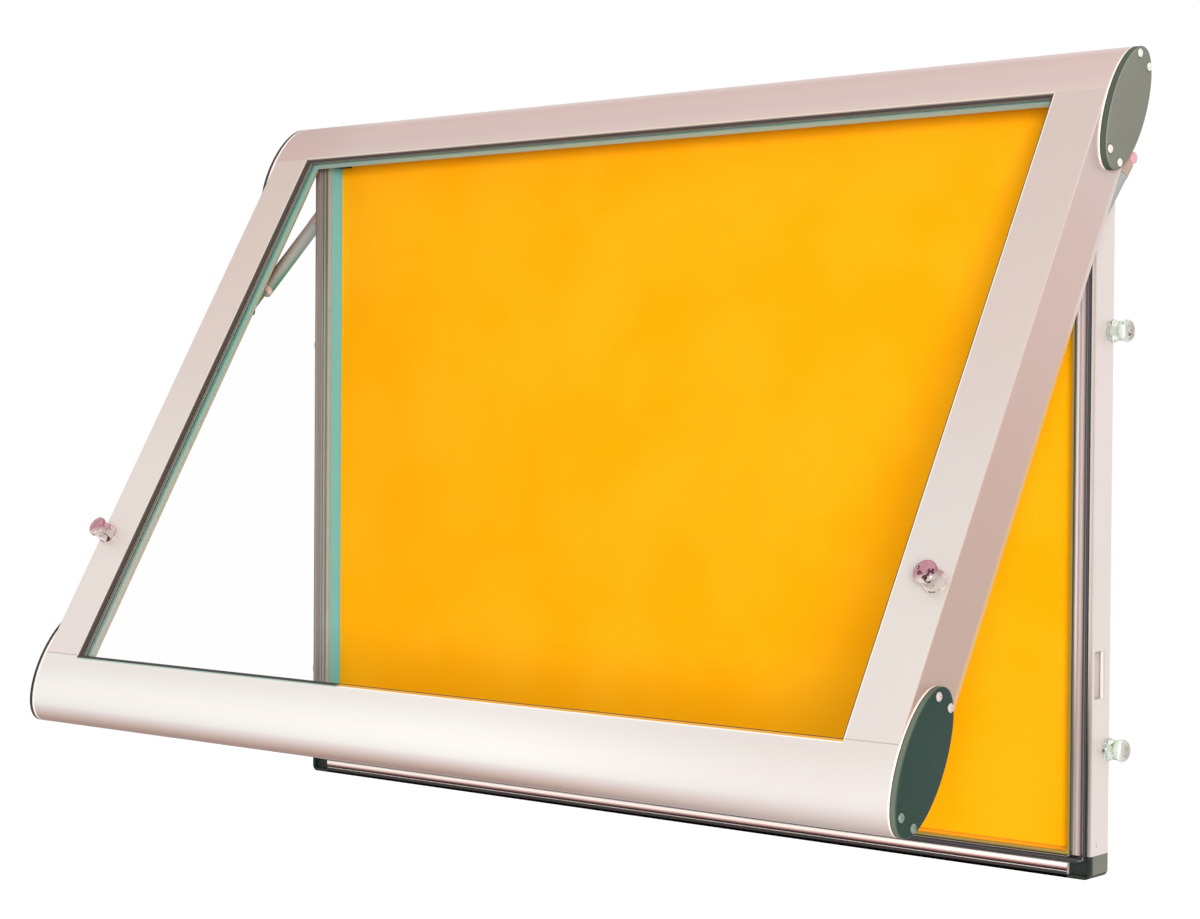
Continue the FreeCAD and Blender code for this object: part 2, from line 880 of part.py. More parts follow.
def socket_gap(name):
    """The wedge of the socket that the bead's web swings through."""
    reach = socket_radius.value * SOCKET_GAP_REACH
    start, end = d.socket_gap_start.value, d.socket_gap_end.value
    corners = [(0.0, 0.0)]
    for angle in (start, (start + end) / 2, end):
        turned = math.radians(angle)
        corners.append((reach * math.sin(turned), -reach * math.cos(turned)))
    body = new_body(name)
    pad(body, "YZ_Plane", -door_half - PAST, door_half + PAST, corners)
    return body


def rails():
    wall = d.box_wall
    web = d.hinge_above_opening - wall / 2
    rail("door_top_rail", opening_top, 1, d.rail_height - d.top_tail,
         d.hinge_above_opening, web, web + wall, True)
    box = lower_box_height
    rail("door_bottom_rail", opening_bottom, -1, d.rail_height - d.bottom_tail,
         box, box - wall, box, False)


def rail_plug_master(name, edge, up, start):
    """Block inside a rail's end that takes the two upper screws of an end cap."""
    play = d.door_wall + d.plug_play
    middle_y = door_front + d.door_depth / 2
    bar = elliptical_bar(f"{name}_bar", d.rail_height - play, d.door_depth / 2 - play,
                         0, d.plug_length, middle_y, edge)
    zs = sorted([edge + up * start, edge + up * d.rail_height], key=lambda size: size.value)
    part = block(f"{name}_part", -PAST, d.plug_length + PAST, door_front,
                 door_front + d.door_depth, *zs)
    screw_z = edge + up * cap_screw_reach
    holes = [bar_x(f"{name}_hole", d.cap_screw_radius, -PAST, d.plug_length + PAST,
                   middle_y + sign * cap_screw_side, screw_z) for sign in (-1, 1)]
    return cut(name, common(f"{name}_whole", bar, part), *holes)


def rail_plugs():
    margin = d.plug_margin
    upper = rail_plug_master("top_plug_master", opening_top, 1,
                             d.hinge_above_opening + socket_radius + margin)
    lower = rail_plug_master("bottom_plug_master", opening_bottom, -1,
                             lower_box_height + margin)
    starts = [place(-door_half, 0, 0), place(door_half - d.plug_length, 0, 0)]
    group("door_top_rail_plugs", [(upper, starts)], DOOR)
    group("door_bottom_rail_plugs", [(lower, starts)], DOOR)


# Door stiles

def stile(label, side):
    """Upright of the door: a box with the glass groove, a face and a deep side flange."""
    def at(u, v):
        return (side * (opening_half + u), door_front + v)

    wall = d.door_wall
    box = d.box_wall
    edge = d.edge_round
    groove_wall = d.groove_depth + box
    outline = [
        at(0, edge),
        Arc(*at(edge, edge), side > 0),
        at(edge, 0),
        at(d.stile_width - edge, 0),
        Arc(*at(d.stile_width - edge, edge), side > 0),
        at(d.stile_width, edge),
        at(d.stile_width, d.door_depth),
        at(d.stile_width - wall, d.door_depth),
        at(d.stile_width - wall, wall),
        at(box_width, wall),
        at(box_width, d.box_depth),
        at(d.box_chamfer, d.box_depth),
        at(0, d.box_depth - d.box_chamfer),
        at(0, groove_rear),
        at(d.groove_depth, groove_rear),
        at(d.groove_depth, d.lip_thickness),
        at(0, d.lip_thickness),
    ]
    hollow = [
        at(groove_wall, wall),
        at(box_width - box, wall),
        at(box_width - box, d.box_depth - box),
        at(inner_chamfer, d.box_depth - box),
        at(box, d.box_depth - inner_chamfer),
        at(box, groove_rear + box),
        at(groove_wall, groove_rear + box),
    ]
    body = new_body(label)
    pad(body, "XY_Plane", opening_bottom, opening_top, outline, hollow)
    pocket(body, "XZ_Plane", door_front - PAST, door_front + wall + PAST,
           Circle(side * lock_x, lock_z, d.barrel_radius))
    screw_y = door_front + d.door_depth / 2
    flange_xs = sorted([side * (door_half - wall - PAST), side * (door_half + PAST)],
                       key=lambda size: size.value)
    pocket(body, "YZ_Plane", flange_xs[0], flange_xs[1], *[
        Circle(screw_y + sign * cap_screw_side, z, d.cap_screw_radius)
        for sign in (-1, 1)
        for z in (opening_top - cap_screw_reach, opening_bottom + cap_screw_reach)])
    keep(body, label, DOOR)


def glazing():
    overlap = d.glass_overlap
    glass = new_body("glazing_sheet")
    front = door_front + d.glass_setback
    sheet_loop = rectangle(-opening_half - overlap, opening_half + overlap,
                           opening_bottom - overlap, opening_top + overlap)
    pad(glass, "XZ_Plane", front, front + d.glass_thickness, sheet_loop)
    keep(glass, "glazing_sheet", DOOR)
    proud = d.gasket_proud
    gasket = new_body("glazing_gasket")
    inner = rectangle(-opening_half + proud, opening_half - proud,
                      opening_bottom + proud, opening_top - proud)
    pad(gasket, "XZ_Plane", door_front + d.lip_thickness, front, sheet_loop, inner)
    keep(gasket, "glazing_gasket", DOOR)


# End caps over the joints of rails and stiles

def end_cap(label, side, edge):
    middle_y = door_front + d.door_depth / 2
    faces = sorted([side * door_half, side * (door_half + d.cap_thickness)],
                   key=lambda size: size.value)
    bar = elliptical_bar(f"{label}_blank", d.rail_height, d.door_depth / 2,
                         faces[0], faces[1], middle_y, edge)
    doc.recompute()
    rounded = doc.addObject("Part::Fillet", f"{label}_rounded")
    rounded.Base = bar
    outer_x = (side * (door_half + d.cap_thickness)).value
    number = next(i for i, e in enumerate(bar.Shape.Edges, start=1)
                  if abs(e.CenterOfMass.x - outer_x) < 0.01)
    rounded.Edges = [(number, d.cap_edge.value, d.cap_edge.value)]
    holes = [bar_x(f"{label}_hole", d.cap_screw_radius, faces[0] - PAST, faces[1] + PAST,
                   middle_y + sign * cap_screw_side, edge + reach * cap_screw_reach)
             for sign in (-1, 1) for reach in (-1, 1)]
    keep(cut(label, rounded, *holes), label, DOOR)


def cap_screws():
    """Sixteen screws with domed heads, each standing on its cap's outer face."""
    master = new_body("cap_screw_master")
    head = d.cap_screw_head
    dome = d.cap_screw_dome
    rim = d.cap_screw_rim
    rise = dome - rim
    ball = (head * head + rise * rise) / (2 * rise)
    turn(master, [
        (0, -d.cap_screw_length),
        (d.cap_screw_radius - d.cap_screw_point / 2, -d.cap_screw_length),
        (d.cap_screw_radius, d.cap_screw_point - d.cap_screw_length),
        (d.cap_screw_radius, 0),
        (head, 0),
        (head, rim),
        Arc(0, dome - ball),
        (0, dome),
    ])
    middle_y = door_front + d.door_depth / 2
    places = []
    for side in (-1, 1):
        axis = ALONG_X if side > 0 else ALONG_MINUS_X
        x = side * (door_half + d.cap_thickness)
        for edge in (opening_top, opening_bottom):
            for reach in (-1, 1):
                for sign in (-1, 1):
                    places.append(place(x, middle_y + sign * cap_screw_side,
                                        edge + reach * cap_screw_reach, *axis))
    group("end_cap_screws", [(master, places)], DOOR)


# Turn locks: local Z points out of the door's front face

def lock_place(side):
    return DOOR.multiply(place(side * lock_x, door_front, lock_z, *ALONG_MINUS_Y))


def hexagon(radius):
    across = math.sqrt(3) / 2
    corners = [(1, 0), (0.5, across), (-0.5, across), (-1, 0), (-0.5, -across), (0.5, -across)]
    return [(x * radius, y * radius) for x, y in corners]


def lock_barrels():
    bore = d.spindle_radius + d.spindle_play
    barrel = new_body("lock_barrel_master")
    turn(barrel, [
        (bore, -d.barrel_length),
        (d.barrel_radius, -d.barrel_length),
        (d.barrel_radius, 0),
        (d.barrel_head_radius, 0),
        (d.barrel_head_radius, d.barrel_head),
        (bore, d.barrel_head),
    ])
    nut = new_body("lock_nut_master")
    pad(nut, "XY_Plane", -d.door_wall - d.barrel_nut_height, -d.door_wall,
        hexagon(d.barrel_nut_radius), Circle(0, 0, d.barrel_radius))
    places = [DOOR.inverse().multiply(lock_place(side)) for side in (-1, 1)]
    group("lock_barrels", [(barrel, places)], DOOR)
    group("lock_nuts", [(nut, places)], DOOR)


def lock(name, side):
    """Knob, spindle, cam and nut that turn together; the cam hangs down when unlocked."""
    where = lock_place(side)
    knob = new_body(f"{name}_lock_knob")
    turn(knob, spool_outline(d.knob_radius, d.knob_length, d.spindle_radius, d.knob_stand_off))
    keep(knob, f"{name}_lock_knob", where)
    rear = -d.cam_setback - d.cam_thickness - d.cam_nut_height - d.thread_end
    spindle = new_body(f"{name}_lock_spindle")
    turn(spindle, rectangle(0, d.spindle_radius, rear,
                            d.knob_stand_off + d.knob_length * KNOB_BORE_SHARE))
    keep(spindle, f"{name}_lock_spindle", where)
    half = d.cam_width / 2
    cam_rear = -d.cam_setback - d.cam_thickness
    cam = new_body(f"{name}_lock_cam")
    pad(cam, "XY_Plane", cam_rear, -d.cam_setback, [
        (-half, 0),
        (-half, half - d.cam_reach),
        Arc(0, half - d.cam_reach),
        (half, half - d.cam_reach),
        (half, 0),
        Arc(0, 0),
    ], Circle(0, 0, d.spindle_radius))
    keep(cam, f"{name}_lock_cam", where)
    nut = new_body(f"{name}_lock_cam_nut")
    pad(nut, "XY_Plane", cam_rear - d.cam_nut_height, cam_rear,
        hexagon(d.cam_nut_radius), Circle(0, 0, d.spindle_radius))
    keep(nut, f"{name}_lock_cam_nut", where)


# Gas struts: local Z runs from the upper pivot towards the door's anchor

strut_x = door_half - d.door_wall - d.strut_inset
upper_y = -d.stud_from_back
upper_z = hinge_z - d.stud_below_hinge
anchor_point = DOOR.multVec(vector(0, door_front + d.anchor_setback,
                                   opening_top - d.anchor_drop))
upper_point = CASE.multVec(vector(0, upper_y, upper_z))
reach = anchor_point.sub(upper_point)
strut_length = as_size(round(reach.Length, 4))
strut_lean = math.degrees(math.atan2(-reach.y, -reach.z))


def strut_place(side):
    """Local X runs outwards on the right strut, and local Z down the strut."""
    turned = FreeCAD.Rotation(FreeCAD.Vector(1, 0, 0), 180 - strut_lean)
    base = FreeCAD.Vector((side * strut_x).value, upper_point.y, upper_point.z)
    return FreeCAD.Placement(base, turned)


def strut_studs():
    """Studs of the upper pivots, fixed through the sides of the case."""
    eye = d.eye_width / 2 + d.eye_gap
    run = strut_x - case_half
    master = new_body("strut_stud_master")
    head_start = run + eye
    turn(master, [
        (0, -d.case_wall),
        (d.stud_radius, -d.case_wall),
        (d.stud_radius, 0),
        (d.stud_collar_radius, 0),
        (d.stud_collar_radius, run - eye),
        (d.stud_radius, run - eye),
        (d.stud_radius, head_start),
        (d.stud_head_radius, head_start),
        (d.stud_head_radius, head_start + d.stud_head - d.stud_head_edge),
        (d.stud_head_radius - d.stud_head_edge, head_start + d.stud_head),
        (0, head_start + d.stud_head),
    ])
    places = []
    for side in (-1, 1):
        axis = ALONG_X if side > 0 else ALONG_MINUS_X
        places.append(place(side * case_half, upper_y, upper_z, *axis))
    group("strut_studs", [(master, places)], CASE)


def strut_anchors():
    """Plates on the door's side flanges, each with a boss that faces the rod's end."""
    master = new_body("strut_anchor_master")
    seat = door_half - d.door_wall - strut_x
    face = d.rod_end_width / 2 + d.eye_gap
    plate_face = seat - d.anchor_plate
    half_width = d.anchor_plate_width / 2
    half_length = d.anchor_plate_length / 2
    pad(master, "XY_Plane", plate_face, seat,
        rectangle(-half_length, half_length, -half_width, half_width))
    pad(master, "XY_Plane", face, plate_face, Circle(0, 0, d.anchor_boss_radius))
    places = []
    for side in (-1, 1):
        axis = ALONG_X if side > 0 else ALONG_MINUS_X
        places.append(place(side * strut_x, door_front + d.anchor_setback,
                            opening_top - d.anchor_drop, *axis))
    group("strut_anchors", [(master, places)], DOOR)


def strut(name, side):
    where = strut_place(side)
    inner = d.tube_radius - d.tube_wall
    start = d.tube_start
    end = d.tube_end
    half_eye = d.eye_width / 2
    eye = new_body(f"{name}_strut_eye")
    pad(eye, "YZ_Plane", -half_eye, half_eye, Circle(0, 0, d.eye_radius))
    pad(eye, "XY_Plane", d.stud_radius + PAST, start + d.neck_plug, Circle(0, 0, d.neck_radius))
    pad(eye, "XY_Plane", d.stud_head_radius + d.eye_sleeve_clearance, start,
        Circle(0, 0, d.eye_sleeve_radius))
    pad(eye, "XY_Plane", start, start + d.neck_plug, Circle(0, 0, inner))
    pocket(eye, "YZ_Plane", -half_eye - PAST, half_eye + PAST,
           Circle(0, 0, d.stud_radius + d.eye_play))
    keep(eye, f"{name}_strut_eye", where)
    tube = new_body(f"{name}_strut_tube")
    pad(tube, "XY_Plane", start, end, Circle(0, 0, d.tube_radius), Circle(0, 0, inner))
    keep(tube, f"{name}_strut_tube", where)
    gland = new_body(f"{name}_strut_gland")
    gland_bore = d.rod_radius + d.rod_play
    pad(gland, "XY_Plane", end - d.gland_length, end, Circle(0, 0, inner),
        Circle(0, 0, gland_bore))
    pad(gland, "XY_Plane", end, end + d.gland_flange, Circle(0, 0, d.tube_radius),
        Circle(0, 0, gland_bore))
    keep(gland, f"{name}_strut_gland", where)
    piston_end = d.piston_depth + d.piston_height
    piston = new_body(f"{name}_strut_piston")
    pad(piston, "XY_Plane", d.piston_depth, piston_end, Circle(0, 0, inner - d.rod_play),
        Circle(0, 0, d.rod_radius))
    keep(piston, f"{name}_strut_piston", where)
    rod = new_body(f"{name}_strut_rod")
    rod_end = strut_length - d.rod_end_radius
    pad(rod, "XY_Plane", d.piston_depth - d.rod_tail, rod_end + PAST, Circle(0, 0, d.rod_radius))
    half_width = d.rod_end_width / 2
    pad(rod, "YZ_Plane", -half_width, half_width, Circle(0, strut_length, d.rod_end_radius))
    keep(rod, f"{name}_strut_rod", where)


def build():
    for name, side in (("left", -1), ("right", 1)):
        case_side_profile(f"case_{name}_profile", side)
        keeper(f"keeper_{name}", side)
        corner_piece(f"corner_top_{name}", side, True)
        corner_piece(f"corner_bottom_{name}", side, False)
        stile(f"door_{name}_stile", side)
        end_cap(f"end_cap_top_{name}", side, opening_top)
        end_cap(f"end_cap_bottom_{name}", side, opening_bottom)
        lock(name, side)
        strut(name, side)
    case_top_profile()
    case_bottom_profile()
    case_strips()
    back_panel_and_board()
    wall_spacers()
    corner_screws()
    side_knobs()
    strut_studs()
    strut_anchors()
    rails()
    rail_plugs()
    glazing()
    cap_screws()
    lock_barrels()


def write():
    doc.recompute()
    for thing in doc.Objects:
        if {"Invalid", "Error"} & set(thing.State):
            raise ValueError(f"{thing.Name} did not build: {thing.State}")
    for node in nodes:
        if node.Shape.isNull() or not node.Shape.isValid():
            raise ValueError(f"{node.Label} has no sound shape")
    os.makedirs("parts", exist_ok=True)
    for node in nodes:
        node.Shape.exportStep(f"parts/{node.Label}.step")
    print(len(nodes), "pieces, hinge at", DOOR.Base, "strut", strut_length.value, strut_lean)


build()
write()
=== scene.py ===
import json
import math

import bmesh
import bpy
import numpy as np
from mathutils import Matrix, Vector
from mathutils.geometry import tessellate_polygon


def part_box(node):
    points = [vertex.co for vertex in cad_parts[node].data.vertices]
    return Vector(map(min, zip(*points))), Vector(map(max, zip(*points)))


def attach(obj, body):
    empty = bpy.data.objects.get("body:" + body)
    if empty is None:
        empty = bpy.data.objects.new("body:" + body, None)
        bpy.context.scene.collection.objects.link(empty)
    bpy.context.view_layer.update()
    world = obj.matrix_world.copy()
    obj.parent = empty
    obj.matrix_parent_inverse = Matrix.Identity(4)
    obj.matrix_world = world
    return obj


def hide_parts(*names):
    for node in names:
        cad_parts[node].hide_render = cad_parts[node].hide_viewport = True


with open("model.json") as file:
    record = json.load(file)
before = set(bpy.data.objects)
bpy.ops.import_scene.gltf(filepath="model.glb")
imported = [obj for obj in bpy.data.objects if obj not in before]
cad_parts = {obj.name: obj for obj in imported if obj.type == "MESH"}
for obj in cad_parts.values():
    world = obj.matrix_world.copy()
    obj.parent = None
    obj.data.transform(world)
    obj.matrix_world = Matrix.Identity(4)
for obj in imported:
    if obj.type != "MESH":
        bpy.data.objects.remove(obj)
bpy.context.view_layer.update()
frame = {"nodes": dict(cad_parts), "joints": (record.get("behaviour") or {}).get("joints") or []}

# The place it is seen in
# A pale floor lies well below the board, and everything behind it is white. A soft lamp stands
# near the camera, so that the felt shows almost no shadow, and a weaker one low on the left.

WHITE = (1.0, 1.0, 1.0, 1.0)


class Wire:
    """A value or colour that runs through a node tree. Arithmetic on it adds the Math nodes."""

    def __init__(self, tree, output):
        self.tree = tree
        self.output = output

    def math(self, operation, *others):
        return self.tree.node("ShaderNodeMath", {"operation": operation},
                              dict(enumerate((self, *others))))

    def __add__(self, other):
        return self.math("ADD", other)

    def __mul__(self, other):
        return self.math("MULTIPLY", other)

    def __sub__(self, other):
        return self.math("SUBTRACT", other)

    def __truediv__(self, other):
        return self.math("DIVIDE", other)

    def __pow__(self, other):
        return self.math("POWER", other)

    def __rsub__(self, other):
        return self.tree.node("ShaderNodeMath", {"operation": "SUBTRACT"}, {0: other, 1: self})


class Tree:
    """The nodes of a material or of the world."""

    def __init__(self, node_tree):
        self.nodes = node_tree.nodes
        self.links = node_tree.links

    def node(self, kind, settings=None, sockets=None, output=0):
        """Adds one node: its settings first, then the values or wires of its sockets."""
        made = self.nodes.new(kind)
        for name, value in (settings or {}).items():
            if name == "stops":
                self.set_stops(made.color_ramp, value)
            elif name == "blend":
                made.color_ramp.interpolation = value
            else:
                setattr(made, name, value)
        for key, value in (sockets or {}).items():
            self.feed(made.inputs[key], value)
        return Wire(self, made.outputs[output]) if made.outputs else None

    def set_stops(self, ramp, stops):
        ramp.interpolation = "CONSTANT"
        while len(ramp.elements) < len(stops):
            ramp.elements.new(0.5)
        for element, (place, colour) in zip(ramp.elements, stops):
            element.position = place
            element.color = colour

    def feed(self, socket, value):
        if isinstance(value, Wire):
            self.links.new(value.output, socket)
        else:
            socket.default_value = value


def seen_or_mirrored(tree):
    """1 for what the camera sees, straight, in a reflection or through glass, and 0 for light."""
    path = "ShaderNodeLightPath"
    seen = tree.node(path, output="Is Camera Ray")
    mirrored = tree.node(path, output="Is Glossy Ray")
    through = tree.node(path, output="Is Transmission Ray")
    return seen.math("MAXIMUM", mirrored).math("MAXIMUM", through)


def light_the_world(sky_light):
    world = bpy.data.worlds.new("pale_room")
    bpy.context.scene.world = world
    world.use_nodes = True
    world.node_tree.nodes.clear()
    tree = Tree(world.node_tree)
    strength = seen_or_mirrored(tree) * (1 - sky_light) + sky_light
    background = tree.node("ShaderNodeBackground", sockets={"Color": WHITE, "Strength": strength})
    tree.node("ShaderNodeOutputWorld", sockets={"Surface": background})


def lay_floor(height, half_size, reflected, glow):
    """The floor gives back some of the light, so that it keeps the board's shadow."""
    corners = np.array([(-1, -1), (1, -1), (1, 1), (-1, 1)]) * half_size
    mesh = bpy.data.meshes.new("pale_floor")
    mesh.from_pydata([(x, y, height) for x, y in corners.tolist()], [], [(0, 1, 2, 3)])
    floor = bpy.data.objects.new("pale_floor", mesh)
    bpy.context.scene.collection.objects.link(floor)
    material = bpy.data.materials.new("pale_floor")
    material.use_nodes = True
    material.node_tree.nodes.clear()
    tree = Tree(material.node_tree)
    matt = tree.node("ShaderNodeBsdfDiffuse", sockets={"Color": (reflected,) * 3 + (1,)})
    light = tree.node("ShaderNodeEmission",
                      sockets={"Color": WHITE, "Strength": seen_or_mirrored(tree) * glow})
    both = tree.node("ShaderNodeAddShader", sockets={0: matt, 1: light})
    tree.node("ShaderNodeOutputMaterial", sockets={"Surface": both})
    mesh.materials.append(material)


def lamp(name, azimuth, elevation, distance, size, watts):
    """A square soft lamp that faces the middle of the board."""
    a, e = math.radians(azimuth), math.radians(elevation)
    back = np.array([math.sin(a) * math.cos(e), -math.cos(a) * math.cos(e), math.sin(e)])
    data = bpy.data.lights.new(name, "AREA")
    data.shape = "SQUARE"
    data.size = size
    data.energy = watts
    light = bpy.data.objects.new(name, data)
    bpy.context.scene.collection.objects.link(light)
    right = np.array([math.cos(a), math.sin(a), 0.0])
    up = np.cross(back, right)
    light.matrix_world = Matrix([(*row, shift) for row, shift in zip(
        np.stack([right, up, back], axis=1).tolist(), (back * distance).tolist())]
        + [(0, 0, 0, 1)])


def stand_camera():
    """The photograph was taken from the right, level with the middle of the board."""
    place = (1.4716, -1.8796, 0.0588)
    azimuth, elevation, roll = (math.radians(v) for v in (39.962, 1.043, 0.4145))
    right = np.array([math.cos(azimuth), math.sin(azimuth), 0.0])
    back = np.array([math.sin(azimuth) * math.cos(elevation),
                     -math.cos(azimuth) * math.cos(elevation), math.sin(elevation)])
    up = np.cross(back, right)
    turned_right = math.cos(roll) * right + math.sin(roll) * up
    turned_up = math.cos(roll) * up - math.sin(roll) * right
    data = bpy.data.cameras.new("camera")
    data.sensor_fit = "HORIZONTAL"
    data.sensor_width = 36
    data.lens = 73.266
    camera = bpy.data.objects.new("camera", data)
    bpy.context.scene.collection.objects.link(camera)
    camera.matrix_world = Matrix([(*row, shift) for row, shift in zip(
        np.stack([turned_right, turned_up, back], axis=1).tolist(), place)] + [(0, 0, 0, 1)])
    bpy.context.scene.camera = camera


bpy.context.scene.view_settings.view_transform = "Standard"
light_the_world(0.65)
lay_floor(-1.4, 7.0, 0.42, 0.8)
lamp("soft_lamp", 38, 4.5, 6, 1.6, 290)
lamp("left_lamp", -30, -12, 9, 5, 70)
stand_camera()

# The back of the case
# A flat aluminium sheet closes the case behind a soft board covered in amber felt. Four round
# plastic spacers, each on a wall screw, hold the case off the wall.


def tone(code):
    """A colour as it shows on a screen, such as "D8C1BB", in the linear values Blender takes."""
    shares = np.array([int(code[i:i + 2], 16) for i in (0, 2, 4)]) / 255
    linear = np.where(shares <= 0.04045, shares / 12.92, ((shares + 0.055) / 1.055) ** 2.4)
    return (*linear.tolist(), 1.0)


class Finish(Tree):
    """A material: its shader, and what its colour, roughness and relief are worked out from.

    Numbers that stay the same all over the surface are set on the shader itself."""

    def __init__(self, name, roughness=0.5, metallic=0.0, **constants):
        self.material = bpy.data.materials.new(name)
        self.material.use_nodes = True
        super().__init__(self.material.node_tree)
        self.shader = self.nodes["Principled BSDF"]
        self.set(roughness=roughness, metallic=metallic, **constants)

    def set(self, **sockets):
        for name, value in sockets.items():
            self.feed(self.shader.inputs[name.replace("_", " ").title().replace("Ior", "IOR")],
                      value)
        return self

    def place(self):
        """Where a point of the surface is, in metres: X, Y and Z."""
        spot = self.node("ShaderNodeTexCoord", output="Object")
        return [self.node("ShaderNodeSeparateXYZ", sockets={0: spot}, output=i) for i in range(3)]

    def grain(self, scale, detail=2.0, stretch=(1, 1, 1), roughness=0.5):
        """Noise between 0 and 1, drawn out along the axes with a small stretch."""
        spot = self.node("ShaderNodeTexCoord", output="Object")
        drawn = self.node("ShaderNodeMapping", sockets={"Vector": spot, "Scale": stretch})
        return self.node("ShaderNodeTexNoise", sockets={
            "Vector": drawn, "Scale": scale, "Detail": detail, "Roughness": roughness})

    def step(self, value, start, end):
        """A smooth step from 0 at start to 1 at end."""
        return self.node("ShaderNodeMapRange", {"interpolation_type": "SMOOTHSTEP"},
                         {"Value": value, "From Min": start, "From Max": end})

    def band(self, value, low, high, soft):
        """1 between low and high, with soft edges."""
        return (self.step(value, low - soft, low + soft)
                * (1 - self.step(value, high - soft, high + soft)))

    def mix(self, share, first, second):
        return self.node("ShaderNodeMix", {"data_type": "RGBA"}, {0: share, 6: first, 7: second},
                         output=2)

    def relief(self, height, depth, strength=1.0):
        bump = self.node("ShaderNodeBump", sockets={
            "Height": height, "Distance": depth, "Strength": strength})
        return self.set(normal=bump)

    def paint(self, *names):
        """Puts the finish on CAD nodes whose shape is right as it is."""
        for name in names:
            node = frame["nodes"][name]
            node.data.materials.clear()
            node.data.materials.append(self.material)


def felt():
    """Amber felt: a cloudy colour and a fine matted nap."""
    finish = Finish("amber_felt", roughness=0.95, specular_ior_level=0.02)
    clouds = finish.grain(9, 4)
    nap = finish.grain(900, 3, roughness=0.7)
    flecks = finish.grain(260, 2)
    colour = finish.mix(finish.step(clouds, 0.35, 0.65), tone("FDA906"), tone("FFAF12"))
    colour = finish.mix(finish.step(flecks, 0.55, 0.8) * 0.35, colour, tone("F7A800"))
    finish.set(base_color=colour)
    return finish.relief(nap + flecks * 0.6, 0.0004, 0.35)


def back_sheet():
    """Mill aluminium with faint rolling lines across it."""
    finish = Finish("back_sheet", roughness=0.45, metallic=0.6)
    rolled = finish.grain(160, 3, stretch=(0.05, 1, 1))
    finish.set(base_color=finish.mix(rolled, tone("B9B4AE"), tone("CFCAC4")),
               roughness=rolled * 0.15 + 0.35)
    return finish.relief(rolled, 0.0001, 0.3)


def moulded(name, dark, light, roughness=0.5):
    """Moulded plastic with a fine even texture."""
    finish = Finish(name)
    pores = finish.grain(700, 2)
    clouds = finish.grain(30, 2)
    finish.set(base_color=finish.mix(clouds, tone(dark), tone(light)),
               roughness=pores * 0.2 + (roughness - 0.1))
    return finish.relief(pores, 0.0001, 0.25)


felt().paint("pinboard")
back_sheet().paint("back_panel")
moulded("spacer_plastic", "1B1B1A", "262624").paint("wall_spacers")

# Case profiles
# Three hollow aluminium extrusions with a satin finish, and a thin plate along the top with the
# bead that the door hangs from. Grooves in their front faces take the seals, between bands of
# colour that hold painted highlights and painted shade.

CASE_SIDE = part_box("case_right_profile")[1][0]
CASE_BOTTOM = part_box("case_bottom_profile")[0][2]
CASE_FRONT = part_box("case_right_profile")[0][1]
BOARD_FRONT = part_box("pinboard")[0][1]
MM = 0.001
FACE_WIDTH = 22.3 * MM
# The bands are colours across the front face, each from its distance in mm from the outer face.
# They hold painted light: pale painted highlights along the outer edge and on a lip, and painted
# shade in the grooves and along the edge by the board. LOW_SIDE_BANDS make the sides darker
# towards the bottom. FAR_SIDE_BANDS paint the far side darker as painted shade. BOTTOM_BANDS hold
# a black painted shadow along the lowest edge and a white painted highlight on the rounded lip of
# the sill.
SIDE_BANDS = [(0, "D0C3BB"), (0.8, "B9AAA3"), (2, "C3B9B1"), (3, "CFCAC0"), (4.2, "1D1A1B"),
              (9.2, "8A7773"), (10.3, "A8948D"), (11.3, "C2ADA5"), (12.6, "BFB4B0"),
              (13.4, "A09593"), (14, "897A7B"), (14.9, "C7B5B7"), (15.9, "D7C8C9"),
              (16.9, "BCB2AB"), (17.6, "8C816B"), (18, "17140F")]
LOW_SIDE_BANDS = [(0, "B5A79E"), (0.8, "9C8F86"), (2.2, "84786F"), (3.2, "433C34"),
                  (4.2, "1D1A1B"), (9.2, "77665C"), (10.2, "9C8478"), (11.4, "B19A91"),
                  (12.8, "BCADA8"), (13.8, "978A87"), (15.2, "A09593"), (16.2, "8E857E"),
                  (17, "6F665D"), (18, "17140F")]
FAR_SIDE_BANDS = [(0, "6A5D59"), (1, "9C8C86"), (4.2, "7E766F"), (9.2, "9A9288"), (12, "5C5650"),
                  (13.2, "9C9388"), (16, "75776A"), (18, "666A5C")]
BOTTOM_BANDS = [(0, "050201"), (2.5, "2E2B2A"), (4.2, "373332"), (5.4, "120A0B"), (6.8, "55302F"),
                (7.7, "A07772"), (8.6, "DBBDB5"), (9.6, "FFF3EA"), (12.3, "A99E98"),
                (13, "17140F"), (18, "B9AAA4")]


def extruded(name, stretch, roughness=0.4, metallic=0.2):
    """Satin aluminium: faint lines along the extrusion, and a slightly uneven sheen."""
    finish = Finish(name, metallic=metallic, specular_ior_level=0.25)
    finish.lines = finish.grain(420, 2, stretch=stretch)
    finish.clouds = finish.grain(7, 3)
    finish.set(roughness=finish.lines * 0.08 + finish.clouds * 0.06 + (roughness - 0.07))
    finish.relief(finish.lines, 0.00008, 0.12)
    return finish


def banded(finish, depth, bands):
    """Plain colours side by side, each from its own distance from the outer face, in mm."""
    return finish.node("ShaderNodeValToRGB", {
        "stops": [(place * MM / FACE_WIDTH, tone(code)) for place, code in bands]},
        {"Fac": depth / FACE_WIDTH})


def right_half(finish, x):
    """1 on the right half of the board, which is the nearer one, and 0 on the left half."""
    return finish.step(x, -0.001, 0.001)


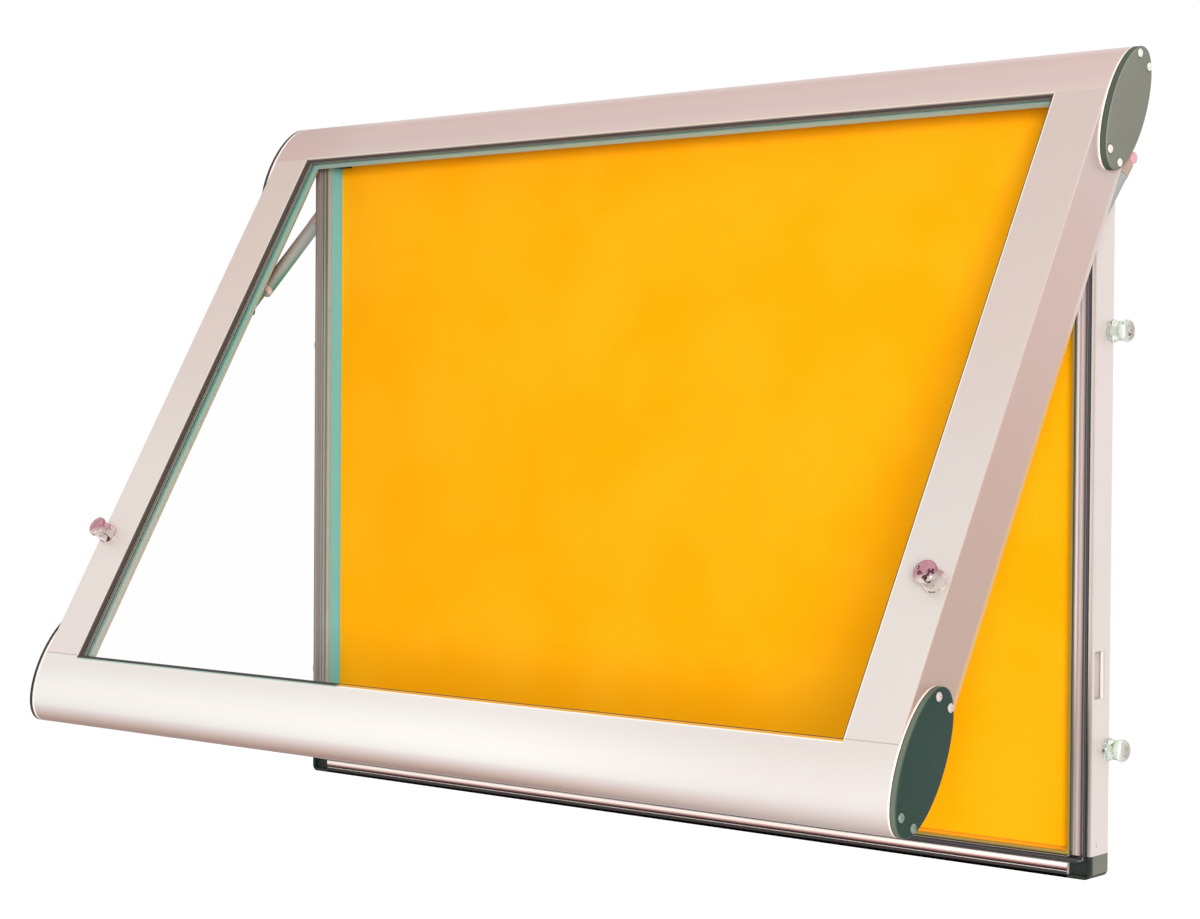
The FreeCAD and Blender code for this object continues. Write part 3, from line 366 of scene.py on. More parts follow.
def case_metal(name, stretch, upright):
    """Bands across the front, and plain sides.

    The faces beside the board are painted: sea green on the uprights as painted shade, and amber
    on the sill as a painted reflection of the felt. The lowest band of the sill is a black painted
    shadow, made metallic so that no sheen lightens it."""
    finish = extruded(name, stretch)
    x, y, z = finish.place()
    if upright:
        depth = CASE_SIDE - x.math("ABSOLUTE")
        lower = 1 - finish.step(z, CASE_BOTTOM + 90 * MM, CASE_BOTTOM + 230 * MM)
        front = finish.mix(right_half(finish, x), banded(finish, depth, FAR_SIDE_BANDS),
                           finish.mix(lower, banded(finish, depth, SIDE_BANDS),
                                      banded(finish, depth, LOW_SIDE_BANDS)))
        inner = finish.mix(finish.step(y, CASE_FRONT + 2.4 * MM, CASE_FRONT + 2.8 * MM),
                           tone("B9C6C0"), tone("75C9DA"))
    else:
        depth = z - CASE_BOTTOM
        front = banded(finish, depth, BOTTOM_BANDS)
        inner = tone("FFC93A")
    by_board = (finish.step(depth, FACE_WIDTH - 0.4 * MM, FACE_WIDTH - 0.2 * MM)
                * (1 - finish.step(y, BOARD_FRONT, BOARD_FRONT + 1 * MM)))
    sides = finish.mix(by_board, finish.mix(finish.clouds, tone("E0D3CE"), tone("E5DAD5")), inner)
    at_front = 1 - finish.step(y, CASE_FRONT + 0.1 * MM, CASE_FRONT + 0.4 * MM)
    lowest = 1 - finish.step(z, CASE_BOTTOM + 2.3 * MM, CASE_BOTTOM + 2.7 * MM)
    finish.set(base_color=finish.mix(at_front, sides, front),
               metallic=at_front * lowest * 0.8 + 0.2)
    return finish


uprights = case_metal("upright_aluminium", (1, 1, 0.02), True)
uprights.paint("case_left_profile", "case_right_profile")
case_metal("sill_aluminium", (0.02, 1, 1), False).paint("case_bottom_profile")
head = extruded("head_aluminium", (0.02, 1, 1))
head.set(base_color=head.mix(head.clouds, tone("D9CCC4"), tone("E4D9D2")))
head.paint("case_top_profile")

# Corner pieces
# Four plastic corners plug into the ends of the profiles, each held by a countersunk screw. Their
# sides are grey-green, and their fronts are nearly black round the seals.


def corner_plastic():
    """Grey-green on the outer sides, and nearly black everywhere else."""
    finish = Finish("corner_plastic", specular_ior_level=0.2)
    x, y, z = finish.place()
    pores = finish.grain(700, 2)
    clouds = finish.grain(30, 2)
    sides = finish.mix(clouds, tone("757568"), tone("848477"))
    dark = finish.mix(finish.step(pores, 0.55, 0.7), tone("1B2420"), tone("3A403B"))
    outside = finish.step(x.math("ABSOLUTE"), CASE_SIDE - 0.6 * MM, CASE_SIDE - 0.3 * MM)
    outside = outside.math("MAXIMUM", 1 - finish.step(z, CASE_BOTTOM + 0.3 * MM,
                                                      CASE_BOTTOM + 0.6 * MM))
    behind_lip = finish.step(y, CASE_FRONT + 3.2 * MM, CASE_FRONT + 4.2 * MM)
    finish.set(base_color=finish.mix(outside * behind_lip, dark, sides),
               roughness=pores * 0.2 + 0.4)
    return finish.relief(pores, 0.0001, 0.25)


corner_plastic().paint("corner_bottom_left", "corner_bottom_right", "corner_top_left",
                       "corner_top_right")


def zinc():
    """Bright zinc on steel, with a faint spangle."""
    finish = Finish("zinc_plate", metallic=0.8)
    spangle = finish.grain(220, 3)
    finish.set(base_color=finish.mix(spangle, tone("BDB2AC"), tone("DDD5CF")),
               roughness=spangle * 0.2 + 0.25)
    return finish.relief(spangle, 0.00005, 0.2)


zinc_plate = zinc()
zinc_plate.paint("corner_screws")

# Keepers
# A plate of brushed steel stands behind the slot in each side of the case, where the cam of the
# turn lock catches when the door is shut.


def brushed_steel():
    finish = Finish("brushed_steel", metallic=0.1, roughness=0.35, specular_ior_level=0.3)
    brushed = finish.grain(500, 2, stretch=(1, 1, 0.02))
    # The plate is painted near white, lighter than bare steel, as painted light against the shade
    # of the slot.
    finish.set(base_color=finish.mix(brushed, tone("FFF2E4"), tone("FFFAF0")))
    return finish.relief(brushed, 0.00004, 0.2)


brushed_steel().paint("keeper_left", "keeper_right")

# Seals of the case
# Two black rubber strips are pressed into the grooves of the case's front: up one side, round the
# bottom corners and up the other side. The outer one has two soft ribs, the inner one a flat lip.


def closed_sheet(rows, columns, along=False):
    """Corner numbers of the faces of a grid whose rows close, and whose columns may close too."""
    numbers = np.arange(rows * columns).reshape(rows, columns)
    numbers = np.column_stack([numbers, numbers[:, :1]])
    if along:
        numbers = np.vstack([numbers, numbers[:1]])
    return np.stack([numbers[:-1, :-1], numbers[:-1, 1:], numbers[1:, 1:], numbers[1:, :-1]],
                    axis=-1).reshape(-1, 4)


def piece(name, points, faces, finish, body, material_slot, *stands_for, crease=32):
    """One piece from its points and faces: smooth, but for the edges sharper than the crease."""
    mesh = bpy.data.meshes.new(name)
    mesh.from_pydata(points.reshape(-1, 3).tolist(), [], faces)
    shell = bmesh.new()
    shell.from_mesh(mesh)
    bmesh.ops.remove_doubles(shell, verts=shell.verts, dist=1e-7)
    bmesh.ops.recalc_face_normals(shell, faces=shell.faces)
    shell.to_mesh(mesh)
    shell.free()
    mesh.shade_smooth()
    mesh.set_sharp_from_angle(angle=math.radians(crease))
    mesh.materials.append(finish.material)
    made = bpy.data.objects.new(name, mesh)
    bpy.context.scene.collection.objects.link(made)
    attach(made, body)
    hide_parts(*stands_for)


def bend_round(centre_x, centre_z, radius, start, end, count=14):
    """Places and inward directions along an arc in the plane of the case's front."""
    turn = np.radians(np.linspace(start, end, count))
    outward = np.column_stack([np.cos(turn), np.sin(turn)])
    return np.array([centre_x, centre_z]) + radius * outward, -outward


def seal_strip(name, node, section, radius, finish):
    """A section (inwards, forwards, in mm) carried down one side, round the corners and up.

    A point is the path's place, plus its share inwards, and its depth from the case's front."""
    (left, _, bottom), (right, _, top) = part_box(node)
    curve = radius * MM
    low_left = bend_round(left + curve, bottom + curve, curve, 180, 270)
    low_right = bend_round(right - curve, bottom + curve, curve, 270, 360)
    places = np.vstack([[(left, top)], low_left[0], low_right[0], [(right, top)]])
    inwards = np.vstack([[(1, 0)], low_left[1], low_right[1], [(-1, 0)]])
    across, forwards = (np.array(section) * MM).T
    flat = places[:, None, :] + inwards[:, None, :] * across[None, :, None]
    y = np.broadcast_to(CASE_FRONT - forwards, flat.shape[:2])
    points = np.stack([flat[..., 0], y, flat[..., 1]], axis=-1)
    rows, columns = flat.shape[:2]
    faces = closed_sheet(rows, columns).tolist()
    faces += [list(range(columns)), list(range((rows - 1) * columns, rows * columns))]
    piece(name, points, faces, finish, "case", "seal_rubber", node)


def rib(low, high, base, height, count=9):
    """A soft rib: half an ellipse from low to high across, standing on the base."""
    turn = np.linspace(0, math.pi, count)
    middle, half = (low + high) / 2, (high - low) / 2
    return list(zip(middle - half * np.cos(turn), base + height * np.sin(turn)))


def rubber(name, near_side, far_side, lift):
    """Rubber painted in lines along the strip: painted highlights and painted shade on its ribs,
    paler on the far side of the case as painted light.

    Along the bottom the strip lies higher in the case's front by the lift, in mm."""
    finish = Finish(name, roughness=0.45, specular_ior_level=0.2)
    x, y, z = finish.place()
    dust = finish.grain(90, 3)
    beside = CASE_SIDE - x.math("ABSOLUTE")
    depth = beside.math("MINIMUM", z - CASE_BOTTOM - lift * MM)
    colour = finish.mix(right_half(finish, x), banded(finish, depth, far_side),
                        banded(finish, depth, near_side))
    finish.set(base_color=finish.mix(dust * 0.25, colour, tone("4A4543")))
    return finish.relief(dust, 0.0001, 0.2)


# Lines of colour across each strip, in mm from the case's outer face: a pale line between the
# seal's ribs is a painted highlight, and the far side's lines are painted paler as painted light.
SEAL_LINES = [(0, "2C2927"), (4.9, "3A3635"), (6.5, "8A858A"), (7.3, "3E383B"), (8.4, "2A2425")]
FAR_SEAL_LINES = [(0, "736B63"), (5.2, "8A827A"), (6.6, "6E6860"), (7.4, "8A8278")]
TRIM_LINES = [(0, "7E745F"), (18.7, "2E2410"), (19.7, "85733A"), (20.6, "A88B3E")]
FAR_TRIM_LINES = [(0, "5F6355"), (19.2, "A5B0A5")]
seal_strip("case_seal_strip", "case_seal",
           [(0.05, -3.9), *rib(0.05, 2.5, 0, 1.9), *rib(2.6, 4.75, 0, 1.9), (4.75, -3.9)], 10,
           rubber("seal_rubber", SEAL_LINES, FAR_SEAL_LINES, 9))
seal_strip("case_trim_strip", "case_inner_trim",
           [(0.05, -3.4), (0.05, 0), *rib(0.5, 3.9, 0.1, 0.4), (3.95, -3.4)], 7,
           rubber("trim_rubber", TRIM_LINES, FAR_TRIM_LINES, 0))

# Side knobs
# Two clear moulded spools on each side of the case, each on a steel stud with a zinc-plated nut
# inside the profile. Their pale green tint is painted in rings along the knob: white painted
# highlights between bands of green painted shade.


def ramp(finish, value, low, high, stops):
    """Colours along a value, blended from one stop to the next."""
    share = finish.node("ShaderNodeMapRange", None,
                        {"Value": value, "From Min": low, "From Max": high})
    return finish.node("ShaderNodeValToRGB", {
        "stops": [(place, tone(code)) for place, code in stops], "blend": "LINEAR"},
        {"Fac": share})


def clear_plastic(name, tint, deep):
    """Clear moulded plastic of one tint, which may vary, with a few darker flow marks."""
    finish = Finish(name, roughness=0.03, transmission_weight=0.6, ior=1.45)
    flow = finish.grain(190, 2)
    finish.set(base_color=finish.mix(finish.step(flow, 0.61, 0.65), tint(finish), tone(deep)))
    return finish


def pale_green(finish):
    """The tint of a side knob along its length, from the case outwards: white painted highlights
    between bands of green painted shade.
    """
    x = finish.place()[0]
    return ramp(finish, x.math("ABSOLUTE"), CASE_SIDE, CASE_SIDE + 19.8 * MM, [
        (0, "E9E6DC"), (0.1, "FFFFFF"), (0.2, "C3D4C0"), (0.28, "FFFFFF"), (0.5, "EAF2E6"),
        (0.62, "C0D4B5"), (0.72, "F8FBF6"), (0.93, "FDFEFC"), (1, "DCD0C4")])


def turned(outline, frames, count=64):
    """An outline of radius and height, in mm, turned about the third axis of each frame.

    A point is the frame's place, plus radius times a turning direction, plus height along."""
    radius, height = (np.array(outline) * MM).T
    turn = np.linspace(0, 2 * math.pi, count, endpoint=False)
    around = np.stack([np.cos(turn), np.sin(turn)], axis=-1)
    points, faces = [], []
    for place, first, second, axis in frames:
        ring = around @ np.array([first, second])
        points.append(np.array(place) + radius[:, None, None] * ring[None]
                      + height[:, None, None] * np.array(axis)[None, None])
        rows = len(radius)
        start = (len(points) - 1) * rows * count
        faces += (closed_sheet(rows, count) + start).tolist()
        for row in (0, rows - 1):
            if radius[row] > 0:
                faces.append((np.arange(row * count, (row + 1) * count) + start).tolist())
    return np.concatenate([block.reshape(-1, 3) for block in points]), faces


def spool(radius, length, waist, round_off, base=0.0):
    """Outline of a spool: two rounded flanges, and a shallow waist that is half a sine wave."""
    turn = np.radians(np.linspace(0, 90, 8))
    foot = [(radius - round_off + round_off * math.sin(t),
             round_off - round_off * math.cos(t)) for t in turn]
    middle = np.linspace(0.24, 0.76, 13)
    bow = [(radius - (radius - waist) * math.sin(math.pi * (m - 0.2) / 0.6), m * length)
           for m in middle]
    head = [(r, length - h) for r, h in reversed(foot)]
    return [(0, base)] + [(r, h + base) for r, h in foot + bow + head] + [(0, base + length)]


def out_of(x, y, z, side):
    """A frame whose axis points out of the case's side."""
    return (x, y, z), (0, 1, 0), (0, 0, 1), (side, 0, 0)


def side_knobs():
    (left, front, bottom), (right, back, top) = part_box("side_knobs")
    radius = (back - front) / 2
    length = right - CASE_SIDE
    frames = [out_of(side * CASE_SIDE, (front + back) / 2, z, side)
              for side in (-1, 1) for z in (bottom + radius, top - radius)]
    points, faces = turned(spool(radius / MM, length / MM, waist=8.5, round_off=4.4), frames)
    piece("clear_side_knobs", points, faces, clear_plastic("clear_green", pale_green, "56705F"),
          "case", "clear_knob", "side_knobs")


def stud_metal(name, dark, light):
    finish = Finish(name, metallic=0.4, roughness=0.35)
    worn = finish.grain(400, 2)
    finish.set(base_color=finish.mix(worn, tone(dark), tone(light)))
    return finish.relief(worn, 0.00004, 0.2)


side_knobs()
stud_metal("stud_metal", "8FA388", "C3CDB9").paint("side_knob_studs")
zinc_plate.paint("side_knob_nuts")

# Door rails
# Two elliptical aluminium extrusions with inner walls and a groove for the glass. The upper one
# has the hinge socket. Plastic blocks in their ends take the screws of the end caps.


def joint(name):
    return next(j for j in frame["joints"] if j["name"] == name)


HINGE = np.array(joint("door_hinge")["pos_m"])
OPEN_ANGLE = math.radians(30.65)
COS, SIN = math.cos(OPEN_ANGLE), math.sin(OPEN_ANGLE)
HINGE_BEHIND_FACE = 26.1
OPENING_TOP = -25.7
OPENING_BOTTOM = -618.4
OPENING_HALF = 450.0
DOOR_HALF = 500.0
RAIL_HEIGHT = 60.0
RAIL_HALF_DEPTH = 27.5
RAIL_WALL = 2.5
GROOVE_FRONT = 1.6
GROOVE_REAR = 12.6
GASKET_REAR = 8.4
GLASS_GROOVE = [(4.5, 22.5), (0, 18), (0, GROOVE_REAR), (8, GROOVE_REAR), (8, GROOVE_FRONT),
                (0, GROOVE_FRONT)]
BOX_INSIDE = [(5.33, 20.5), (2, 17.17), (2, GROOVE_REAR + 2), (10, GROOVE_REAR + 2)]


def on_door(x, behind, up):
    """From mm on the door (across, behind its face, up from the hinge) to the board's metres."""
    x, behind, up = np.broadcast_arrays(x, behind, up)
    deep = (behind - HINGE_BEHIND_FACE) * MM
    high = up * MM
    return np.stack([x * MM, HINGE[1] + deep * COS + high * SIN,
                     HINGE[2] - deep * SIN + high * COS], axis=-1)


def ellipse(inset, start, end, count):
    """Points (out, behind) of a rail's ellipse, from one angle to another; 90 is at the tip."""
    turn = np.radians(np.linspace(start, end, count))
    return list(zip((RAIL_HEIGHT - inset) * np.sin(turn),
                    RAIL_HALF_DEPTH - (RAIL_HALF_DEPTH - inset) * np.cos(turn)))


def circle(out, behind, radius, start, end, count=12):
    """Points of the hinge socket; the angle is 0 towards the opening and 90 to the rear."""
    turn = np.radians(np.linspace(start, end, count))
    return list(zip(out - radius * np.cos(turn), behind + radius * np.sin(turn)))


def bar(name, loops, to_door, ends, finish, node):
    """An outline and its holes carried straight from one end to the other, and closed there."""
    points, faces, rings = [], [], []
    for loop in loops:
        out, behind = np.array(loop).T
        start = sum(len(block) for block in points)
        block = np.concatenate([to_door(out, behind, end) for end in ends])
        points.append(block)
        faces += (closed_sheet(2, len(loop)) + start).tolist()
        rings.append((start, len(loop), block))
    flat = [[Vector(p) for p in block[:count]] for _, count, block in rings]
    numbers = np.concatenate([np.arange(start, start + count) for start, count, _ in rings])
    others = np.concatenate([np.arange(start + count, start + 2 * count)
                             for start, count, _ in rings])
    for corners in tessellate_polygon(flat):
        faces.append(numbers[list(corners)].tolist())
        faces.append(others[list(corners)].tolist())
    piece(name, np.concatenate(points), faces, finish, "door", "frame_aluminium", node)


def rail(name, loops, edge, up, finish, node):
    bar(name, loops, lambda out, behind, end: on_door(end, behind, edge + up * out),
        (-DOOR_HALF, DOOR_HALF), finish, node)


SOCKET = (25.7, 26.1)
top_outline = (ellipse(0, 0, 125.2, 72) + ellipse(RAIL_WALL, 121.5, 27.67, 60)
               + circle(*SOCKET, 7, 261.8, 82, 30) + circle(*SOCKET, 4.1, 82, 332, 34)
               + [(19.52, 22.81), (19.7, 22.5)] + GLASS_GROOVE)
top_hollow = (ellipse(RAIL_WALL, 10.02, 25.44, 12) + circle(*SOCKET, 7, -81.8, -53.1, 6)
              + BOX_INSIDE)
bottom_outline = (ellipse(0, 0, 116.9, 72) + ellipse(RAIL_WALL, 111.5, 49.93, 44)
                  + [(44, 22.5)] + GLASS_GROOVE)
bottom_hollow = ([(42, 20.5)] + ellipse(RAIL_WALL, 46.92, 10.02, 20) + BOX_INSIDE[::-1])


def door_place(finish):
    """Where a point of the door is, in metres: across, back from the hinge, and up from it."""
    x, y, z = finish.place()
    deep, high = y - HINGE[1], z - HINGE[2]
    return x, deep * COS - high * SIN, deep * SIN + high * COS


def door_metal(name, stretch, colour):
    """Satin aluminium of the door; colour works out the base colour from the door's places."""
    finish = extruded(name, stretch)
    finish.set(base_color=colour(finish, *door_place(finish)))
    return finish


def in_opening(finish, across, behind, colour, lines, green, within=1):
    """Thin painted lines along the opening's edge, and sea green painted shade on the walls where
    the glass is.

    Across is the distance from the opening's edge into the bar. Each line is its far edge in mm
    and its colour, from the edge outwards: a dark painted shadow of the gap at the edge, which may
    take a painted reflection of the felt, then a pale painted highlight along the metal."""
    for reach, line in reversed(lines):
        shown = (1 - finish.step(across, (reach - 0.15) * MM, (reach + 0.15) * MM)) * within
        colour = finish.mix(shown, colour, line)
    start = (GASKET_REAR - HINGE_BEHIND_FACE) * MM
    inside = (finish.band(behind, start, start + 9.7 * MM, 0.1 * MM)
              * (1 - finish.step(across, 8.4 * MM, 8.8 * MM)))
    return finish.mix(inside, colour, green)


def on_opening(finish, x):
    """1 along the opening, and 0 past its ends."""
    return 1 - finish.step(x.math("ABSOLUTE"), (OPENING_HALF + 1) * MM, (OPENING_HALF + 1.5) * MM)


def top_colour(finish, x, behind, up):
    """Pink, with painted light that makes it paler towards the tip that faces the sky, and a
    little darker at the left end.
    """
    along = ramp(finish, up, OPENING_TOP * MM, (OPENING_TOP + RAIL_HEIGHT) * MM, [
        (0, "CBB9B0"), (0.26, "CAB3AF"), (0.5, "CCB6AE"), (0.71, "D0B3AD"), (0.9, "E2CFCB"),
        (1, "EADCD9")])
    along = finish.mix(1 - finish.step(x, -0.47, -0.36), along, tone("C5ABA3"))
    return in_opening(finish, up - OPENING_TOP * MM, behind, along, [(1.2, tone("E0CFC4"))],
                      tone("A6C2BA"), on_opening(finish, x))


def bottom_colour(finish, x, behind, up):
    """Warm white, with painted shade that turns it pink where it turns under, and greyer towards
    the right end. By the board, the edge holds a painted shadow on the left and a painted
    reflection of the felt on the right.
    """
    along = ramp(finish, up, OPENING_BOTTOM * MM, (OPENING_BOTTOM - RAIL_HEIGHT) * MM, [
        (0, "DBD7CF"), (0.14, "DBD4CF"), (0.26, "DDD8D2"), (0.42, "E2DED9"), (0.574, "E6E0DD"),
        (0.707, "E2DFDA"), (0.82, "DDD8D4"), (0.906, "CBBAB5"), (0.966, "B69E91"),
        (1, "9F7D74")])
    along = finish.mix(finish.step(x, 0.05, 0.45) * 0.6, along, tone("C8BDB8"))
    by_board = finish.step(x, -0.09, -0.08)
    gap_shade_and_reflection = finish.mix(by_board, tone("3E3D38"), tone("D89A30"))
    edge_highlight_and_shade = finish.mix(by_board, tone("9DB5AD"), tone("EFE6DE"))
    return in_opening(finish, OPENING_BOTTOM * MM - up, behind, along,
                      [(1.9, gap_shade_and_reflection), (3, edge_highlight_and_shade)], tone("AEC3C0"), on_opening(finish, x))


rail("top_rail", [top_outline, top_hollow], OPENING_TOP, 1,
     door_metal("top_rail_aluminium", (0.02, 1, 1), top_colour), "door_top_rail")
rail("bottom_rail", [bottom_outline, bottom_hollow], OPENING_BOTTOM, -1,
     door_metal("bottom_rail_aluminium", (0.02, 1, 1), bottom_colour), "door_bottom_rail")
moulded("plug_plastic", "1B1B1A", "262624").paint("door_top_rail_plugs", "door_bottom_rail_plugs")

# Door stiles
# The uprights are a flat face over a small box with the glass groove, and a deep flange down the
# outer side that hides the struts when the door is shut.


def stile_colour(finish, x, behind, up):
    """From warm white at the foot to pink at the top, on the two faces and on the flanges, as
    painted light and shade; the flanges and the near and far stiles are painted in shades of their
    own.
    """
    out = x.math("ABSOLUTE")
    near = right_half(finish, x)
    face = ramp(finish, up, OPENING_BOTTOM * MM, OPENING_TOP * MM, [
        (0, "D0C7C1"), (0.156, "CFC7C0"), (0.359, "CBC2BD"), (0.561, "C9BBB4"), (0.764, "C7B7AF"),
        (1, "C4B3AD")])
    far_face = ramp(finish, up, OPENING_BOTTOM * MM, OPENING_TOP * MM, [
        (0, "DACFCB"), (0.156, "DAD0CA"), (0.359, "D8CEC6"), (0.561, "D3C5BD"), (0.764, "D0BEB5"),
        (1, "CBB9B0")])
    face = finish.mix(near, far_face, face)
    foot_seam = 1 - finish.step(up, (OPENING_BOTTOM + 0.8) * MM, (OPENING_BOTTOM + 1.2) * MM)
    face = finish.mix(foot_seam, face, tone("B8A6A0"))
    flange = ramp(finish, up, OPENING_BOTTOM * MM, OPENING_TOP * MM, [
        (0, "BCA194"), (0.19, "BDA296"), (0.393, "C4A69B"), (0.595, "C9AEA6"), (0.8, "CDB4AD"),
        (1, "D3C1BE")])
    # The flange's rear edge is a pale painted highlight, amber low down as a painted reflection of
    # the felt.
    rim = finish.step(behind, (48.5 - HINGE_BEHIND_FACE) * MM, (53 - HINGE_BEHIND_FACE) * MM)
    flange = finish.mix(rim, flange, finish.mix(finish.step(up, -0.25, -0.2), tone("D8B07C"),
                                                tone("D9C8C1")))
    green = finish.mix(finish.step(up, -0.55, -0.25), tone("AEC3C0"), tone("8ABDBA"))
    # Along the opening: a dark painted shadow of the gap, olive on the near stile, then a pale
    # painted highlight.
    gap_shade_and_reflection = finish.mix(near, tone("5A524A"), tone("7C7038"))
    face = in_opening(finish, out - OPENING_HALF * MM, behind, face,
                      [(1, gap_shade_and_reflection), (2, tone("E9DFD6"))], green)
    return finish.mix(finish.step(out, (DOOR_HALF - 1.0) * MM, (DOOR_HALF - 0.3) * MM),
                      face, flange)


stiles = door_metal("stile_aluminium", (1, 0.02, 0.02), stile_colour)
stiles.paint("door_left_stile", "door_right_stile")

# Glass and its gasket
# One clear sheet sits in the groove of the four bars, against a dark rubber gasket of two ribs
# that shows all round, just inside the opening.

glass = Finish("glass", roughness=0.0, specular_ior_level=0.3)
waves = glass.grain(6, 1)
skim = glass.node("ShaderNodeLayerWeight", sockets={"Blend": 0.5}, output="Facing")
glass.set(base_color=glass.mix(waves, tone("2F4A42"), tone("3A564E")),
          alpha=skim ** 6 * 0.3 + 0.004)
glass.paint("glazing_sheet")


def gasket():
    """A section carried round the opening: each corner is the section at that corner's signs.

    A point is half the opening plus the section's outward share, and its depth behind the face."""
    turn = np.linspace(0, math.pi, 9)
    ribs = [(-0.3 - height * math.sin(t), middle - half * math.cos(t))
            for middle, half, height in ((3.0, 1.3, 1.5), (6.3, 1.8, 0.9)) for t in turn]
    out, behind = np.array([(5.9, 1.65), (-0.3, 1.65), *ribs, (-0.3, 8.35), (5.9, 8.35)]).T
    corners = [(-1, -1), (1, -1), (1, 1), (-1, 1)]
    rows = []
    for across, above in corners:
        level = OPENING_TOP + out if above > 0 else OPENING_BOTTOM - out
        rows.append(on_door(across * (OPENING_HALF + out), behind, level))
    finish = Finish("gasket_rubber", roughness=0.6, specular_ior_level=0.15)
    behind_hinge = door_place(finish)[1]
    dust = finish.grain(400, 2)
    # Across the gasket's depth: painted shade on the ribs, a pale painted highlight between them,
    # and at the rear the sea green painted shade of the walls beside it.
    shade = ramp(finish, behind_hinge, (GROOVE_FRONT - HINGE_BEHIND_FACE) * MM,
                 (GASKET_REAR - HINGE_BEHIND_FACE) * MM, [
        (0, "4A403D"), (0.2, "322B2A"), (0.42, "524946"), (0.5, "867C76"), (0.6, "5B524E"),
        (0.68, "5F5A55"), (0.76, "8DB5AC"), (1, "98BDB4")])
    finish.set(base_color=finish.mix(dust * 0.3, shade, tone("6A625D")))
    finish.relief(dust, 0.0001, 0.2)
    piece("glazing_gasket_ribs", np.stack(rows), closed_sheet(4, out.size, along=True).tolist(),
          finish, "door", "seal_rubber", "glazing_gasket")


gasket()

# End caps
# An elliptical cast plate covers each end of a rail. It has a rounded edge, a thin pale ring
# painted next to the rail, and four domed screws with a cross recess.

CAP_THICKNESS = 8.0
CAP_EDGE = 1.5
CAP_HEIGHTS = {"top": OPENING_TOP, "bottom": OPENING_BOTTOM}
SCREW_UP = 48.7
SCREW_BESIDE = 9.5036
SCREW_HEAD = 3.7
SCREW_DOME = 2.3


def cap_paint(name, edge, face, rim, far_rim):
    """Painted cast metal with a fine grain: each of face and rims is a pair of close shades.

    A pale ring is painted next to the rail, and a dark ring is left round each screw."""
    finish = Finish(name, specular_ior_level=0.1)
    x, behind, up = door_place(finish)
    speckle = finish.grain(520, 3)
    clouds = finish.grain(22, 3)
    out = x.math("ABSOLUTE") - DOOR_HALF * MM
    near = right_half(finish, x)
    beside = ((behind + (HINGE_BEHIND_FACE - RAIL_HALF_DEPTH) * MM).math("ABSOLUTE")
              - SCREW_BESIDE * MM)
    above = (up - edge * MM).math("ABSOLUTE") - SCREW_UP * MM
    away = (beside * beside + above * above).math("SQRT")
    plate, side, far_side = (finish.mix(clouds, tone(dark), tone(light))
                             for dark, light in (face, rim, far_rim))
    ring = 1 - finish.step(away, (SCREW_HEAD + 0.5) * MM, (SCREW_HEAD + 1.3) * MM)
    plate = finish.mix(ring * 0.7, plate, tone("26332E"))
    colour = finish.mix(finish.step(out, 6.6 * MM, 7.4 * MM), finish.mix(near, far_side, side),
                        plate)
    colour = finish.mix(finish.band(out, 6.4 * MM, 7 * MM, 0.2 * MM) * 0.6, colour, tone("26332E"))
    past_pale_ring = out + near * (1.4 * MM)
    colour = finish.mix(finish.step(past_pale_ring, 3.6 * MM, 4 * MM), tone("26302B"), colour)
    colour = finish.mix(finish.step(past_pale_ring, 2.8 * MM, 3.1 * MM), tone("F1E3DA"), colour)
    finish.set(base_color=colour, roughness=speckle * 0.15 + 0.42)
    return finish.relief(speckle, 0.00012, 0.3)


def end_cap(name, side, edge, finish, node):
    """Rows of ellipses from the rail outwards: a shallow groove, a rounded edge, a flat face."""
    turn = np.linspace(0, 2 * math.pi, 128, endpoint=False)
    round_off = np.radians(np.linspace(0, 90, 7))
    steps = ([(0, 0), (0.8, 0), (1.0, 0.35), (1.6, 0.35), (1.8, 0)]
             + [(CAP_THICKNESS - CAP_EDGE + CAP_EDGE * math.sin(t),
                 CAP_EDGE - CAP_EDGE * math.cos(t)) for t in round_off])
    out, inset = np.array(steps).T
    tall = (RAIL_HEIGHT - inset)[:, None] * np.sin(turn)
    deep = (RAIL_HALF_DEPTH - inset)[:, None] * np.cos(turn)
    points = on_door(side * (DOOR_HALF + out)[:, None], RAIL_HALF_DEPTH + deep, edge + tall)
    faces = closed_sheet(len(steps), len(turn)).tolist()
    last = (len(steps) - 1) * turn.size
    faces += [list(range(turn.size)), list(range(last, last + turn.size))]
    piece(name, points, faces, finish, "door", "cap_paint", node)


# The caps at the top of the door are painted paler than those at the bottom as painted reflection,
# and their near and far rims in shades of their own as painted light.
CAP_SHADES = {
    "top": (("7D7D71", "86867A"), ("3E4C43", "595E54"), ("3B3235", "4A4042")),
    "bottom": (("293E36", "30453D"), ("5B695A", "707364"), ("2B2C2A", "3A3C39")),
}
for level, edge in CAP_HEIGHTS.items():
    finish = cap_paint(f"cap_paint_{level}", edge, *CAP_SHADES[level])
    for side_name, side in (("left", -1), ("right", 1)):
        end_cap(f"cap_{level}_{side_name}", side, edge, finish,
                f"end_cap_{level}_{side_name}")


